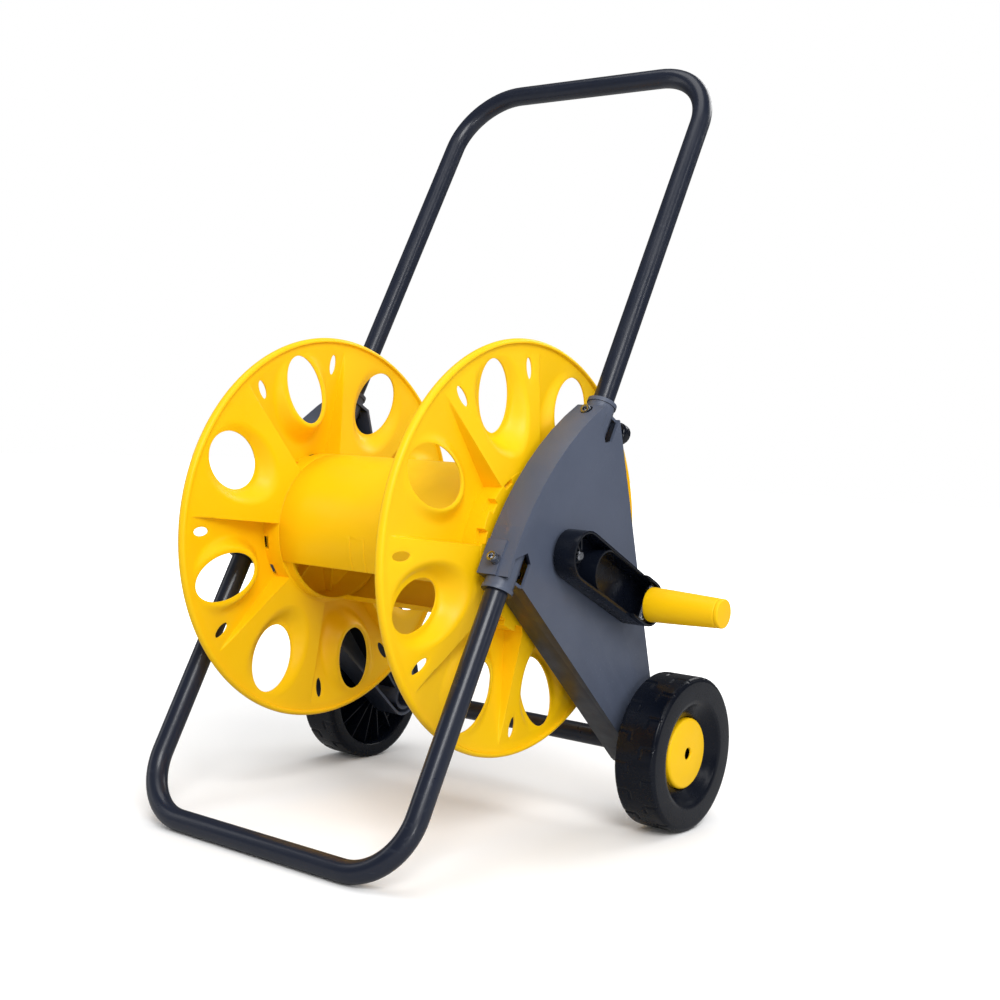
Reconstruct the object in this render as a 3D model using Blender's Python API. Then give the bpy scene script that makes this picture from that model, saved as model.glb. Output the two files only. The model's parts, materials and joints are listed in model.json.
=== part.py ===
"""Garden hose reel cart: two bent tubes held by two side panels, a hose reel turned by a crank, two wheels.

X runs along the reel's axis, +X on the crank's side. Y runs from the foot bar (y = 0) to the wheels.
The ground is z = 0. Sizes are in metres.
"""

import math

import bmesh
import bpy
from mathutils import Vector

# Overall sizes
OVERALL_HEIGHT = 0.800
FRAME_WIDTH = 0.332  # between the centre lines of a tube's two legs
REEL_Y, REEL_Z = 0.204, 0.2837  # the reel's axis
WHEEL_Y = 0.369
WHEEL_DIAMETER = 0.1572
FLANGE_DIAMETER = 0.401
DRUM_DIAMETER = 0.157

# Bent tubes
TUBE_RADIUS = 0.0105
TUBE_WALL = 0.0012
TUBE_SIDES = 12
HANDLE_LEAN = math.radians(27.65)  # back from vertical
HANDLE_BAR_Y = 0.4677
HANDLE_BEND = 0.070
HANDLE_REACH = 0.420  # from the bar's centre line to the panel's end face
HANDLE_INSERT = 0.062
FOOT_LEAN = math.radians(26.8)
FOOT_BEND = 0.060
FOOT_REACH = 0.281
FOOT_INSERT = 0.046
BEND_STEPS = 7

# Side panels
PANEL_DEPTH = 0.033
PLATE = 0.003
WALL = 0.003
HANDLE_END_MARGIN, FOOT_END_MARGIN = 0.0012, -0.0005  # the end faces' edges beyond the sockets
FRONT_BULGE = 0.019  # the front curve's rise over its chord
TIP_RADIUS = 0.022
SOCKET_WALL = 0.003
SOCKET_END = 0.003
COLLAR_LENGTH = 0.011
COLLAR_LIP = 0.0010
COLLAR_LIP_LENGTH = 0.004
WINDOW_LENGTH = 0.026
WINDOW_WIDTH = 0.0235
WINDOW_SLANT = 0.007
BEARING_BOSS_RADIUS = 0.018
BEARING_BOSS_PROUD = 0.0020
BEARING_BOSS_INNER = 0.0025
AXLE_BOSS_RADIUS = 0.0150
AXLE_BOSS_PROUD = 0.0028
RIB = 0.0025
PAD_LENGTH, PAD_WIDTH, PAD_PROUD = 0.034, 0.021, 0.002

# Bolts and knobs
BOLT_RADIUS = 0.0028
BOLT_HEAD_RADIUS = 0.0047
BOLT_HEAD_LENGTH = 0.0068
BOLT_COLLAR_RADIUS = 0.0052
BOLT_COLLAR = 0.0020
BOLT_SOCKET_RADIUS = 0.0027
BOLT_SOCKET_DEPTH = 0.0040
BOLT_BOSS_RADIUS = 0.0068
BOLT_BOSS_PROUD = 0.0012
BOLT_POCKET_RADIUS = 0.0057
HANDLE_BOLT_DROP = 0.0055  # below the panel's end face, along the leg
HANDLE_BOLT_TILT = math.radians(8.0)
HANDLE_BOLT_STAND_OFF = 0.0014  # from the socket to the bolt's seat, sunk in the slanting front wall
FOOT_BOLT_RISE = 0.0140
KNOB_NECK_RADIUS, KNOB_NECK = 0.0056, 0.0140
KNOB_RADIUS, KNOB_LENGTH = 0.0105, 0.0130
KNOB_THREAD_DEPTH = 0.0220
NUT_RADIUS, NUT_THICKNESS = 0.0052, 0.0045

# Wheels and axle
ROD_RADIUS = 0.005
WASHER_RADIUS, WASHER = 0.0098, 0.0018
WHEEL_SIDES = 40
WHEEL_HUB_RADIUS, WHEEL_HUB_LENGTH = 0.0140, 0.0326
TYRE_INSET = 0.0044  # from the hub's inner end to the tyre's inner face
TYRE_WIDTH = 0.0461
TYRE_CHAMFER = 0.0020
TYRE_HOLLOW_RADIUS = 0.0630
WEB = 0.0040
CAP_RADIUS = 0.0360
CAP_WALL = 0.0022
CAP_HOLE_RADIUS = 0.0060
CAP_SEAT_DEPTH = 0.0208  # from the tyre's outer face to the web's outer face
DISH_DEPTH = 0.0118
DISH_RADIUS = 0.0525
DISH_LIP = 0.0040
RETAINER_RADIUS, RETAINER = 0.0090, 0.0035

# Reel
FLANGE_SHEET = 0.0026
RIM_WIDTH, RIM_THICKNESS = 0.0052, 0.0090
SECTORS = 8
SECTOR_START = math.radians(40.0)  # a folded sector that leans towards the drum starts here
COLUMNS = 48  # sides of everything that turns with the flanges
FOLD_IN, FOLD_OUT = 0.0070, 0.0145  # how far the sectors lean at the drum, inwards and outwards
FOLD_START_RADIUS = 0.188
STEP_DRAFT = 0.15  # how far the steps between sectors slant, as a share of half the sheet
HOLE_CIRCLE = 0.151
HOLE_LENGTH = 0.071  # along a radius
HOLE_WIDTH_IN, HOLE_WIDTH_OUT = 0.0540, 0.0456  # in sectors that lean inwards, outwards
HOLE_SIDES = 20
SLOT_CIRCLE = 0.1725
SLOT_LENGTH, SLOT_WIDTH, SLOT_SIDES = 0.0214, 0.0090, 12
SLOT_SPREAD = math.radians(17.5)  # each side of the middle of a sector that leans outwards
HUB_RING_WALL = 0.0030
HUB_SPIGOT = 0.0100
HUB_PLATE = 0.0030
HUB_BOSS_RADIUS, HUB_BOSS_LENGTH = 0.0165, 0.0310
HUB_END = 0.0065
HUB_RIBS = 8
SHELL_WALL = 0.0026
FRONT_WINDOW, REAR_WINDOW = (22, 32), (46, 50)  # the drum's windows, in columns from SECTOR_START

# Water way
SHAFT_RADIUS = 0.0103
SHAFT_BORE = 0.0055
SHAFT_TIP_RADIUS, SHAFT_TIP_LENGTH = 0.0078, 0.0190
SHAFT_COLLAR_RADIUS, SHAFT_COLLAR = 0.0140, 0.0040
ELBOW_DEPTH = 0.0462  # from the end of the flange's boss
ELBOW_RADIUS, ELBOW_REACH = 0.0085, 0.047
ELBOW_ANGLE = math.radians(219.0)
CONNECTOR_RADIUS = 0.0135
CONNECTOR_CUP = 0.0215
CONNECTOR_NECK_RADIUS, CONNECTOR_NECK = 0.0078, 0.0100
CONNECTOR_TIP_RADIUS, CONNECTOR_TIP = 0.0088, 0.0125
CONNECTOR_BORE = 0.0050
SEAL_SECTION = 0.0009
SEAL_PLACE = 0.0055  # from the connector's open end
SEAL_GROOVE_HALF = 0.0014

# Crank
CRANK_ANGLE = math.radians(-25.25)
CRANK_LENGTH = 0.1190
CRANK_HUB_RADIUS = 0.0240
CRANK_THICKNESS = 0.0230
CRANK_FLOOR = 0.0030
CRANK_WALL = 0.0025
CRANK_CHEEK = 0.0050  # how far the walls rise beside the grip's hinge
CRANK_CHEEK_START = 0.103
CRANK_RIBS = 5
TRAY_END_DEPTH = 0.0062  # from the folded grip's end to the centre of the tray's round end
SCREW_BOSS_RADIUS, SCREW_BOSS = 0.0075, 0.0085
SCREW_RADIUS, SCREW_HEAD_RADIUS, SCREW_HEAD = 0.0022, 0.0050, 0.0030
GRIP_BASE_RADIUS, GRIP_END_RADIUS = 0.0176, 0.0143
GRIP_LENGTH = 0.0810
GRIP_OFFSET = 0.0057  # from the hinge pin to the grip's base
GRIP_EDGE = 0.0012
GRIP_END_WALL = 0.0060
SPINDLE_RADIUS = 0.0042
KNUCKLE_RADIUS = 0.0050
PIN_RADIUS = 0.0020

# Clearances
SEAT = 0.0003  # between pieces that touch
REEL_PLAY = 0.0038  # between a flange's hub and the panel's bearing boss
GRIP_CLEARANCE = 0.0025  # round the folded grip, in the arm's tray
BACK_GAP = 0.0012  # between the crank arm and the panel's bearing boss
OVERCUT = 0.001  # how far a cutter runs past what it cuts

# Worked out from the sizes above
LEG_X = FRAME_WIDTH / 2
PANEL_IN = LEG_X - PANEL_DEPTH / 2
PANEL_OUT = LEG_X + PANEL_DEPTH / 2
APOTHEM = math.cos(math.pi / TUBE_SIDES)
HANDLE_BAR = Vector((0, HANDLE_BAR_Y, OVERALL_HEIGHT - TUBE_RADIUS * APOTHEM))
FOOT_BAR = Vector((0, 0, TUBE_RADIUS * APOTHEM))
HANDLE_UP = Vector((0, math.sin(HANDLE_LEAN), math.cos(HANDLE_LEAN)))
FOOT_UP = Vector((0, math.sin(FOOT_LEAN), math.cos(FOOT_LEAN)))
HANDLE_END = HANDLE_BAR - HANDLE_UP * HANDLE_REACH
FOOT_END = FOOT_BAR + FOOT_UP * FOOT_REACH
SOCKET_RADIUS = TUBE_RADIUS + SEAT + SOCKET_WALL
HANDLE_END_WIDTH = 2 * (SOCKET_RADIUS + HANDLE_END_MARGIN)
FOOT_END_WIDTH = 2 * (SOCKET_RADIUS + FOOT_END_MARGIN)
HANDLE_BOLT_SEAT = SOCKET_RADIUS + HANDLE_BOLT_STAND_OFF
WHEEL_RADIUS = WHEEL_DIAMETER / 2
WHEEL_Z = WHEEL_RADIUS * math.cos(math.pi / WHEEL_SIDES)
WHEEL_IN = PANEL_OUT + AXLE_BOSS_PROUD + WASHER + 2 * SEAT
TYRE_IN = WHEEL_IN + TYRE_INSET
TYRE_OUT = TYRE_IN + TYRE_WIDTH
WHEEL_HUB_OUT = WHEEL_IN + WHEEL_HUB_LENGTH
RETAINER_IN = WHEEL_HUB_OUT + SEAT
ROD_END = RETAINER_IN + RETAINER + 0.0012
HUB_FACE = PANEL_IN - BEARING_BOSS_INNER - REEL_PLAY
RIM_X = HUB_FACE - FOLD_OUT - FLANGE_SHEET / 2 - 0.0004  # the flanges' rim planes
DRUM_RADIUS = DRUM_DIAMETER / 2
SHELL_END = RIM_X - FOLD_IN - FLANGE_SHEET / 2 - 0.0006
SPIGOT_RADIUS = DRUM_RADIUS - SHELL_WALL - SEAT
COLUMN_ANGLE = 2 * math.pi / COLUMNS
BORE_RADIUS = SHAFT_RADIUS + SEAT
HUB_INNER = HUB_FACE - HUB_BOSS_LENGTH
ELBOW_X = HUB_INNER - ELBOW_DEPTH
ARM_BACK = PANEL_OUT + BEARING_BOSS_PROUD + BACK_GAP
ARM_FRONT = ARM_BACK + CRANK_THICKNESS
ARM_FLOOR = ARM_BACK + CRANK_FLOOR
PIVOT_X = ARM_FLOOR + GRIP_BASE_RADIUS + 0.0005
PIVOT_U = CRANK_LENGTH + 0.0015
CRANK_END_RADIUS = GRIP_BASE_RADIUS + GRIP_CLEARANCE + CRANK_WALL
TRAY_START = PIVOT_U - GRIP_OFFSET - GRIP_LENGTH + TRAY_END_DEPTH
CRANK_U = Vector((0, math.cos(CRANK_ANGLE), math.sin(CRANK_ANGLE)))
CRANK_W = Vector((0, -math.sin(CRANK_ANGLE), math.cos(CRANK_ANGLE)))
X_AXIS = Vector((1, 0, 0))


# ---- Modelling helpers. Each returns a bmesh of one closed body.


def loft(rings, loop=False):
    """Joins rings of points by quads, and closes the ends unless the last ring meets the first."""
    bm = bmesh.new()
    rows = [[bm.verts.new(point) for point in ring] for ring in rings]
    pairs = list(zip(rows, rows[1:])) + ([(rows[-1], rows[0])] if loop else [])
    for first, second in pairs:
        for i in range(len(first)):
            j = (i + 1) % len(first)
            bm.faces.new((first[i], first[j], second[j], second[i]))
    if not loop:
        bm.faces.new(rows[0][::-1])
        bm.faces.new(rows[-1])
    return bm


def prism(outline, x0, x1):
    """An outline of (y, z) points carried from x0 to x1."""
    return loft([[Vector((x, y, z)) for y, z in outline] for x in (x0, x1)])


def turned(profile, sides, phase=0.0):
    """A profile of (x, radius) points turned about X. It ends on the axis, or joins up with its start."""
    bm = bmesh.new()
    rows = []
    for x, radius in profile:
        if radius == 0:
            rows.append([bm.verts.new((x, 0, 0))] * sides)
            continue
        angles = [phase + 2 * math.pi * i / sides for i in range(sides)]
        rows.append([bm.verts.new((x, radius * math.cos(a), radius * math.sin(a))) for a in angles])
    pairs = list(zip(rows, rows[1:]))
    if profile[0][1] > 0:
        pairs.append((rows[-1], rows[0]))
    for first, second in pairs:
        for i in range(sides):
            j = (i + 1) % sides
            corners = []
            for vert in (first[i], first[j], second[j], second[i]):
                if vert not in corners:
                    corners.append(vert)
            if len(corners) > 2:
                bm.faces.new(corners)
    return bm


def circle(centre, across, up, radius, sides, phase=0.0):
    angles = [phase + 2 * math.pi * i / sides for i in range(sides)]
    return [centre + across * radius * math.cos(a) + up * radius * math.sin(a) for a in angles]


def rod(start, end, radius, sides=16, end_radius=None):
    """A round bar between two points; its facets lie as those of a tube leg in the same direction."""
    along = (end - start).normalized()
    across = X_AXIS if abs(along.x) < 0.9 else Vector((0, 1, 0))
    up = along.cross(across)
    phase = math.pi / sides
    radii = (radius, radius if end_radius is None else end_radius)
    return loft([circle(p, across, up, r, sides, phase) for p, r in zip((start, end), radii)])


def add_piece(name, bm, finish, parent, side=1):
    """Makes one object from a bmesh; side -1 mirrors it to the left."""
    for vert in bm.verts:
        vert.co.x *= side
    bmesh.ops.remove_doubles(bm, verts=bm.verts, dist=1e-7)
    bmesh.ops.recalc_face_normals(bm, faces=bm.faces)
    mesh = bpy.data.meshes.new(name)
    bm.to_mesh(mesh)
    bm.free()
    mesh.shade_smooth()
    mesh.set_sharp_from_angle(angle=math.radians(30))
    piece = bpy.data.objects.new(name, mesh)
    bpy.context.scene.collection.objects.link(piece)
    if finish:
        mesh.materials.append(finish)
    piece.parent = parent
    return piece


def combine(piece, operation, shapes, side=1):
    """Adds a Boolean modifier to a piece for each shape, which becomes a hidden helper."""
    for bm in shapes:
        name = f"{piece.name}_{operation.lower()}_{len(piece.modifiers)}"
        helper = add_piece(name, bm, None, piece.parent, side)
        helper.hide_render = True
        helper.display_type = "WIRE"
        modifier = piece.modifiers.new(helper.name, "BOOLEAN")
        modifier.operation = operation
        modifier.solver = "EXACT"
        modifier.object = helper


def make_finish(name, colour, roughness, metallic=0.0):
    material = bpy.data.materials.new(name)
    material.use_nodes = True
    shader = material.node_tree.nodes["Principled BSDF"]
    shader.inputs["Base Color"].default_value = (*colour, 1)
    shader.inputs["Roughness"].default_value = roughness
    shader.inputs["Metallic"].default_value = metallic
    return material


def make_axis(name, place):
    empty = bpy.data.objects.new(name, None)
    empty.location = place
    bpy.context.scene.collection.objects.link(empty)
    return empty


# ---- Outlines


def inset(outline, distance):
    """Moves every side of a convex outline inwards by the same distance."""
    points = [Vector(p) for p in outline]
    area = sum(a.cross(b) for a, b in zip(points, points[1:] + points[:1]))
    turn = 1 if area > 0 else -1
    result = []
    for i, here in enumerate(points):
        before = (here - points[i - 1]).normalized()
        after = (points[(i + 1) % len(points)] - here).normalized()
        normal_before = Vector((-before.y, before.x)) * turn
        normal_after = Vector((-after.y, after.x)) * turn
        half = (normal_before + normal_after).normalized()
        result.append(here + half * (distance / half.dot(normal_after)))
    return [tuple(p) for p in result]


def arc(start, end, rise, steps):
    """Points after start, up to and with end, on an arc whose middle stands off its chord by rise."""
    start, end = Vector(start), Vector(end)
    chord = end - start
    half = chord.length / 2
    radius = (half * half + rise * rise) / (2 * rise)
    off = Vector((-chord.y, chord.x)).normalized()
    along = chord.normalized()
    centre = (start + end) / 2 + off * (rise - radius)
    spread = math.asin(half / radius)
    points = []
    for i in range(1, steps + 1):
        angle = spread * (1 - 2 * i / steps)
        points.append(tuple(centre + (off * math.cos(angle) - along * math.sin(angle)) * radius))
    return points


def tangent_point(outside, centre, radius, turn):
    """Where a line from a point outside a circle touches it; turn chooses the side."""
    away = Vector(outside) - Vector(centre)
    angle = math.atan2(away.y, away.x) + turn * math.acos(radius / away.length)
    return Vector(centre) + Vector((math.cos(angle), math.sin(angle))) * radius


def obround(start, end, start_radius, end_radius, steps):
    """The outline round two circles, as (y, z) points about the reel's axis, for circles along the crank."""
    lean = math.asin((start_radius - end_radius) / (end - start))
    points = []
    for centre, radius, first, last in (
        (start, start_radius, math.pi / 2 - lean, 3 * math.pi / 2 + lean),
        (end, end_radius, -math.pi / 2 + lean, math.pi / 2 - lean),
    ):
        for i in range(steps + 1):
            angle = first + (last - first) * i / steps
            u = centre + radius * math.cos(angle)
            w = radius * math.sin(angle)
            place = CRANK_U * u + CRANK_W * w
            points.append((place.y, place.z))
    return points


def across(up):
    """Square to a leg, towards the back."""
    return Vector((0, up.z, -up.y))


def flat(vector):
    return (vector.y, vector.z)


def panel_outline():
    """Both end faces stand square to their tubes. A curve joins them in front, and two straight sides
    run from them to a round tip about the axle."""
    handle_back = HANDLE_END + across(HANDLE_UP) * (HANDLE_END_WIDTH / 2)
    handle_front = HANDLE_END - across(HANDLE_UP) * (HANDLE_END_WIDTH / 2)
    foot_back = FOOT_END + across(FOOT_UP) * (FOOT_END_WIDTH / 2)
    foot_front = FOOT_END - across(FOOT_UP) * (FOOT_END_WIDTH / 2)
    axle = Vector((WHEEL_Y, WHEEL_Z))
    back = tangent_point(flat(handle_back), axle, TIP_RADIUS, -1)
    below = tangent_point(flat(foot_back), axle, TIP_RADIUS, 1)
    from_angle = math.atan2(*(back - axle).yx)
    to_angle = math.atan2(*(below - axle).yx)
    steps = 9
    points = [flat(handle_back)]
    for i in range(steps + 1):
        angle = from_angle + (to_angle - from_angle) * i / steps
        points.append(tuple(axle + Vector((math.cos(angle), math.sin(angle))) * TIP_RADIUS))
    points += [flat(foot_back), flat(foot_front)]
    points += arc(flat(foot_front), flat(handle_front), FRONT_BULGE, 9)
    return points


def distance_to_outline(start, direction, outline):
    """How far from a point inside the outline to where a line in this direction leaves it."""
    origin, along = Vector(flat(start)), Vector(flat(direction))
    farthest = 0.0
    for a, b in zip(outline, outline[1:] + outline[:1]):
        side = Vector(b) - Vector(a)
        bottom = along.cross(side)
        if abs(bottom) < 1e-12:
            continue
        distance = (Vector(a) - origin).cross(side) / bottom
        share = (Vector(a) - origin).cross(along) / bottom
        if 0 <= share <= 1:
            farthest = max(farthest, distance)
    return farthest


# ---- Where the bolts lie


def handle_bolt_line():
    centre = HANDLE_END - HANDLE_UP * HANDLE_BOLT_DROP
    lean = HANDLE_LEAN - HANDLE_BOLT_TILT
    return centre, Vector((0, math.cos(lean), -math.sin(lean)))


def foot_bolt_line():
    return FOOT_END + FOOT_UP * FOOT_BOLT_RISE, across(FOOT_UP)


def on_leg(point):
    return Vector((LEG_X, point.y, point.z))


# ---- Frame


def bent_tube(name, bar, up, bend, leg, finish, parent):
    """A U of round tube: a bar along X, two quarter bends and two straight legs along -up or +up."""
    normal = X_AXIS.cross(up)
    path = [(Vector((LEG_X, *flat(bar + up * leg))), up)]
    turn = 1 if leg > 0 else -1
    for i in range(BEND_STEPS + 1):
        angle = math.pi / 2 * i / BEND_STEPS
        place = bar + X_AXIS * (LEG_X - bend + bend * math.cos(angle))
        place += up * turn * (bend - bend * math.sin(angle))
        path.append((place, up * math.cos(angle) + X_AXIS * turn * math.sin(angle)))
    path += [(Vector((-p.x, p.y, p.z)), Vector((-t.x, t.y, t.z))) for p, t in path[::-1]]
    # A facet, not a corner, faces the ground.
    phase = math.atan2(up.z, -normal.z) + math.pi / TUBE_SIDES
    rings_out, rings_in = [], []
    half = len(path) // 2
    for i, (place, tangent) in enumerate(path):
        along = tangent if i < half else -tangent
        inward = along.cross(normal).normalized()
        rings_out.append(circle(place, normal, inward * turn, TUBE_RADIUS, TUBE_SIDES, phase))
        rings_in.append(circle(place, normal, inward * turn, TUBE_RADIUS - TUBE_WALL, TUBE_SIDES, phase))
    return add_piece(name, loft(rings_out + rings_in[::-1], loop=True), finish, parent)


def drill_legs(tube, line):
    centre, along = line
    reach = TUBE_RADIUS * 1.5
    for side in (1, -1):
        hole = rod(on_leg(centre - along * reach), on_leg(centre + along * reach), BOLT_RADIUS + SEAT, 12)
        combine(tube, "DIFFERENCE", [hole], side)


def window(end, up, turn):
    """An opening in the plate over a socket, with a slanted far side."""
    inward = -up * turn
    back = across(up) * (WINDOW_WIDTH / 2)
    shift = across(up) * 0.0015
    corners = [
        end - inward * 0.006 - back + shift,
        end - inward * 0.006 + back + shift,
        end + inward * (WINDOW_LENGTH - WINDOW_SLANT * 0.3) + back + shift,
        end + inward * (WINDOW_LENGTH + WINDOW_SLANT * 0.7) + back * 0.2 + shift,
        end + inward * (WINDOW_LENGTH - WINDOW_SLANT) - back + shift,
    ]
    return prism([flat(c) for c in corners], PANEL_OUT - PLATE - OVERCUT, PANEL_OUT + OVERCUT)


def wall_rib(start, end):
    """A thin upright rib inside a panel, from one (y, z) point to another."""
    start, end = Vector(start), Vector(end)
    side = Vector((-(end - start).y, (end - start).x)).normalized() * (RIB / 2)
    outline = [tuple(start - side), tuple(end - side), tuple(end + side), tuple(start + side)]
    return prism(outline, PANEL_IN + 0.006, PANEL_OUT - PLATE / 2)


def side_panel(name, side, finish, parent):
    outline = panel_outline()
    panel = add_piece(name, prism(outline, PANEL_IN, PANEL_OUT), finish, parent, side)
    combine(panel, "DIFFERENCE", [prism(inset(outline, WALL), PANEL_IN - OVERCUT, PANEL_OUT - PLATE)], side)
    combine(panel, "DIFFERENCE", [window(HANDLE_END, HANDLE_UP, 1), window(FOOT_END, FOOT_UP, -1)], side)

    reel = Vector((0, REEL_Y, REEL_Z))
    axle = Vector((0, WHEEL_Y, WHEEL_Z))
    handle_mouth = on_leg(HANDLE_END + HANDLE_UP * COLLAR_LENGTH)
    foot_mouth = on_leg(FOOT_END - FOOT_UP * COLLAR_LENGTH)
    handle_floor = on_leg(HANDLE_END - HANDLE_UP * (HANDLE_INSERT + SEAT))
    foot_floor = on_leg(FOOT_END + FOOT_UP * (FOOT_INSERT + SEAT))
    added = [
        rod(handle_mouth, handle_floor - HANDLE_UP * SOCKET_END, SOCKET_RADIUS, 24),
        rod(handle_mouth, handle_mouth - HANDLE_UP * COLLAR_LIP_LENGTH, SOCKET_RADIUS + COLLAR_LIP, 24),
        rod(foot_mouth, foot_floor + FOOT_UP * SOCKET_END, SOCKET_RADIUS, 24),
        rod(foot_mouth, foot_mouth + FOOT_UP * COLLAR_LIP_LENGTH, SOCKET_RADIUS + COLLAR_LIP, 24),
        rod(
            reel + X_AXIS * (PANEL_IN - BEARING_BOSS_INNER),
            reel + X_AXIS * (PANEL_OUT + BEARING_BOSS_PROUD),
            BEARING_BOSS_RADIUS,
            24,
        ),
        rod(axle + X_AXIS * PANEL_IN, axle + X_AXIS * (PANEL_OUT + AXLE_BOSS_PROUD), AXLE_BOSS_RADIUS, 20),
    ]
    reel_at, axle_at = Vector(flat(reel)), Vector(flat(axle))
    towards_axle = (axle_at - reel_at).normalized()
    added.append(wall_rib(reel_at + towards_axle * BEARING_BOSS_RADIUS * 0.9, axle_at - towards_axle * 0.010))
    for direction in (Vector((0, 1, 0.25)), Vector((0, -0.9, 0.35)), Vector((0, 0.15, 1))):
        direction.normalize()
        reach = distance_to_outline(reel, direction, outline) - WALL / 2
        end = reel + direction * reach
        added.append(wall_rib(reel_at + Vector(flat(direction)) * BEARING_BOSS_RADIUS * 0.9, flat(end)))

    handle_centre, handle_along = handle_bolt_line()
    foot_centre, foot_along = foot_bolt_line()
    handle_front, handle_back, foot_front, foot_back = bolt_seats(outline)
    added += [
        rod(on_leg(handle_centre - handle_along * handle_front), on_leg(handle_centre), BOLT_BOSS_RADIUS, 16),
        rod(on_leg(handle_centre), on_leg(handle_centre + handle_along * handle_back), BOLT_BOSS_RADIUS, 16),
        rod(on_leg(foot_centre), on_leg(foot_centre + foot_along * foot_back), BOLT_BOSS_RADIUS, 16),
    ]
    pad_corners = [
        foot_centre - foot_along * (foot_front - away) + FOOT_UP * (PAD_LENGTH * share)
        for away, share in ((0, -0.42), (0, 0.58), (PAD_PROUD * 3, 0.58), (PAD_PROUD * 3, -0.42))
    ]
    added.append(prism([flat(p) for p in pad_corners], PANEL_IN, PANEL_IN + PAD_WIDTH))
    combine(panel, "UNION", added, side)

    bore = TUBE_RADIUS + SEAT
    combine(
        panel,
        "DIFFERENCE",
        [
            leg_bore(handle_mouth + HANDLE_UP * OVERCUT, handle_floor, HANDLE_UP, bore, -1),
            leg_bore(foot_mouth - FOOT_UP * OVERCUT, foot_floor, FOOT_UP, bore, 1),
            rod(axle + X_AXIS * (PANEL_IN - OVERCUT), axle + X_AXIS * (PANEL_OUT - PLATE), bore, TUBE_SIDES),
            rod(
                axle + X_AXIS * PANEL_IN,
                axle + X_AXIS * (PANEL_OUT + AXLE_BOSS_PROUD + OVERCUT),
                ROD_RADIUS + SEAT,
            ),
            rod(
                reel + X_AXIS * (PANEL_IN - BEARING_BOSS_INNER - OVERCUT),
                reel + X_AXIS * (PANEL_OUT + BEARING_BOSS_PROUD + OVERCUT),
                BORE_RADIUS,
                24,
            ),
            bolt_hole(handle_bolt_line(), -handle_front - OVERCUT, handle_back + OVERCUT, BOLT_RADIUS + SEAT),
            bolt_hole(foot_bolt_line(), -foot_front - OVERCUT, foot_back + OVERCUT, BOLT_RADIUS + SEAT),
            bolt_hole(handle_bolt_line(), -handle_front - 0.03, -handle_front, BOLT_POCKET_RADIUS),
        ],
        side,
    )
    return panel


def bolt_hole(line, start, end, radius):
    centre, along = line
    return rod(on_leg(centre + along * start), on_leg(centre + along * end), radius, 12)


def bolt_seats(outline):
    """How far the flat seats of both bolts stand from their leg's centre line, in front and behind."""
    handle_centre, handle_along = handle_bolt_line()
    foot_centre, foot_along = foot_bolt_line()
    lean = BOLT_BOSS_RADIUS * 0.55
    handle_front = HANDLE_BOLT_SEAT
    handle_back = distance_to_outline(handle_centre, handle_along, outline) + BOLT_BOSS_PROUD + lean
    foot_front = max(distance_to_outline(foot_centre, -foot_along, outline), SOCKET_RADIUS) + PAD_PROUD
    foot_back = SOCKET_RADIUS + BOLT_BOSS_PROUD
    return handle_front, handle_back, foot_front, foot_back


def leg_bore(start, end, up, radius, turn):
    """A hole whose facets lie as those of the tube leg that goes in it."""
    normal = X_AXIS.cross(up)
    phase = math.atan2(up.z, -normal.z) + math.pi / TUBE_SIDES
    inward = up.cross(normal).normalized() * turn
    return loft([circle(p, normal, inward, radius, TUBE_SIDES, phase) for p in (start, end)])


def hexagon(start, end, radius):
    return rod(start, end, radius, 6)


def bolt(name, line, seat, end, side, finish, parent):
    """A collar and a round head with a hexagon socket in front of the seat, and a shank behind it."""
    centre, along = line

    def at(distance):
        return on_leg(centre + along * distance)

    collar_in = -seat - SEAT
    collar_out = collar_in - BOLT_COLLAR
    head_out = collar_out - BOLT_HEAD_LENGTH
    shank = rod(at(collar_in - BOLT_COLLAR / 2), at(end), BOLT_RADIUS, 12)
    piece = add_piece(name, shank, finish, parent, side)
    combine(
        piece,
        "UNION",
        [
            rod(at(collar_in), at(collar_out), BOLT_COLLAR_RADIUS, 16, BOLT_COLLAR_RADIUS * 0.82),
            rod(at(collar_out + 0.0003), at(head_out), BOLT_HEAD_RADIUS, 16),
        ],
        side,
    )
    socket = hexagon(at(head_out - OVERCUT), at(head_out + BOLT_SOCKET_DEPTH), BOLT_SOCKET_RADIUS)
    combine(piece, "DIFFERENCE", [socket], side)


def knob(name, line, seat, side, finish, parent):
    """A round knob on a long neck, with a blind thread for the bolt."""
    centre, along = line

    def at(distance):
        return on_leg(centre + along * distance)

    start = seat + SEAT
    head = start + KNOB_NECK
    shoulder = 0.0022
    rings = [
        (start, KNOB_NECK_RADIUS),
        (head, KNOB_NECK_RADIUS),
        (head, KNOB_RADIUS - shoulder),
        (head + shoulder, KNOB_RADIUS),
        (head + KNOB_LENGTH - shoulder, KNOB_RADIUS),
        (head + KNOB_LENGTH, KNOB_RADIUS - shoulder),
    ]
    up = along.cross(X_AXIS)
    shape = loft([circle(at(t), X_AXIS, up, r, 18) for t, r in rings])
    piece = add_piece(name, shape, finish, parent, side)
    thread = rod(at(start - OVERCUT), at(start + KNOB_THREAD_DEPTH), BOLT_RADIUS + SEAT, 12)
    combine(piece, "DIFFERENCE", [thread], side)


def nut(name, line, seat, side, finish, parent):
    centre, along = line
    start, end = seat + SEAT, seat + SEAT + NUT_THICKNESS
    body = hexagon(on_leg(centre + along * start), on_leg(centre + along * end), NUT_RADIUS)
    piece = add_piece(name, body, finish, parent, side)
    combine(piece, "DIFFERENCE", [bolt_hole(line, start - OVERCUT, end + OVERCUT, BOLT_RADIUS + SEAT)], side)


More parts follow.
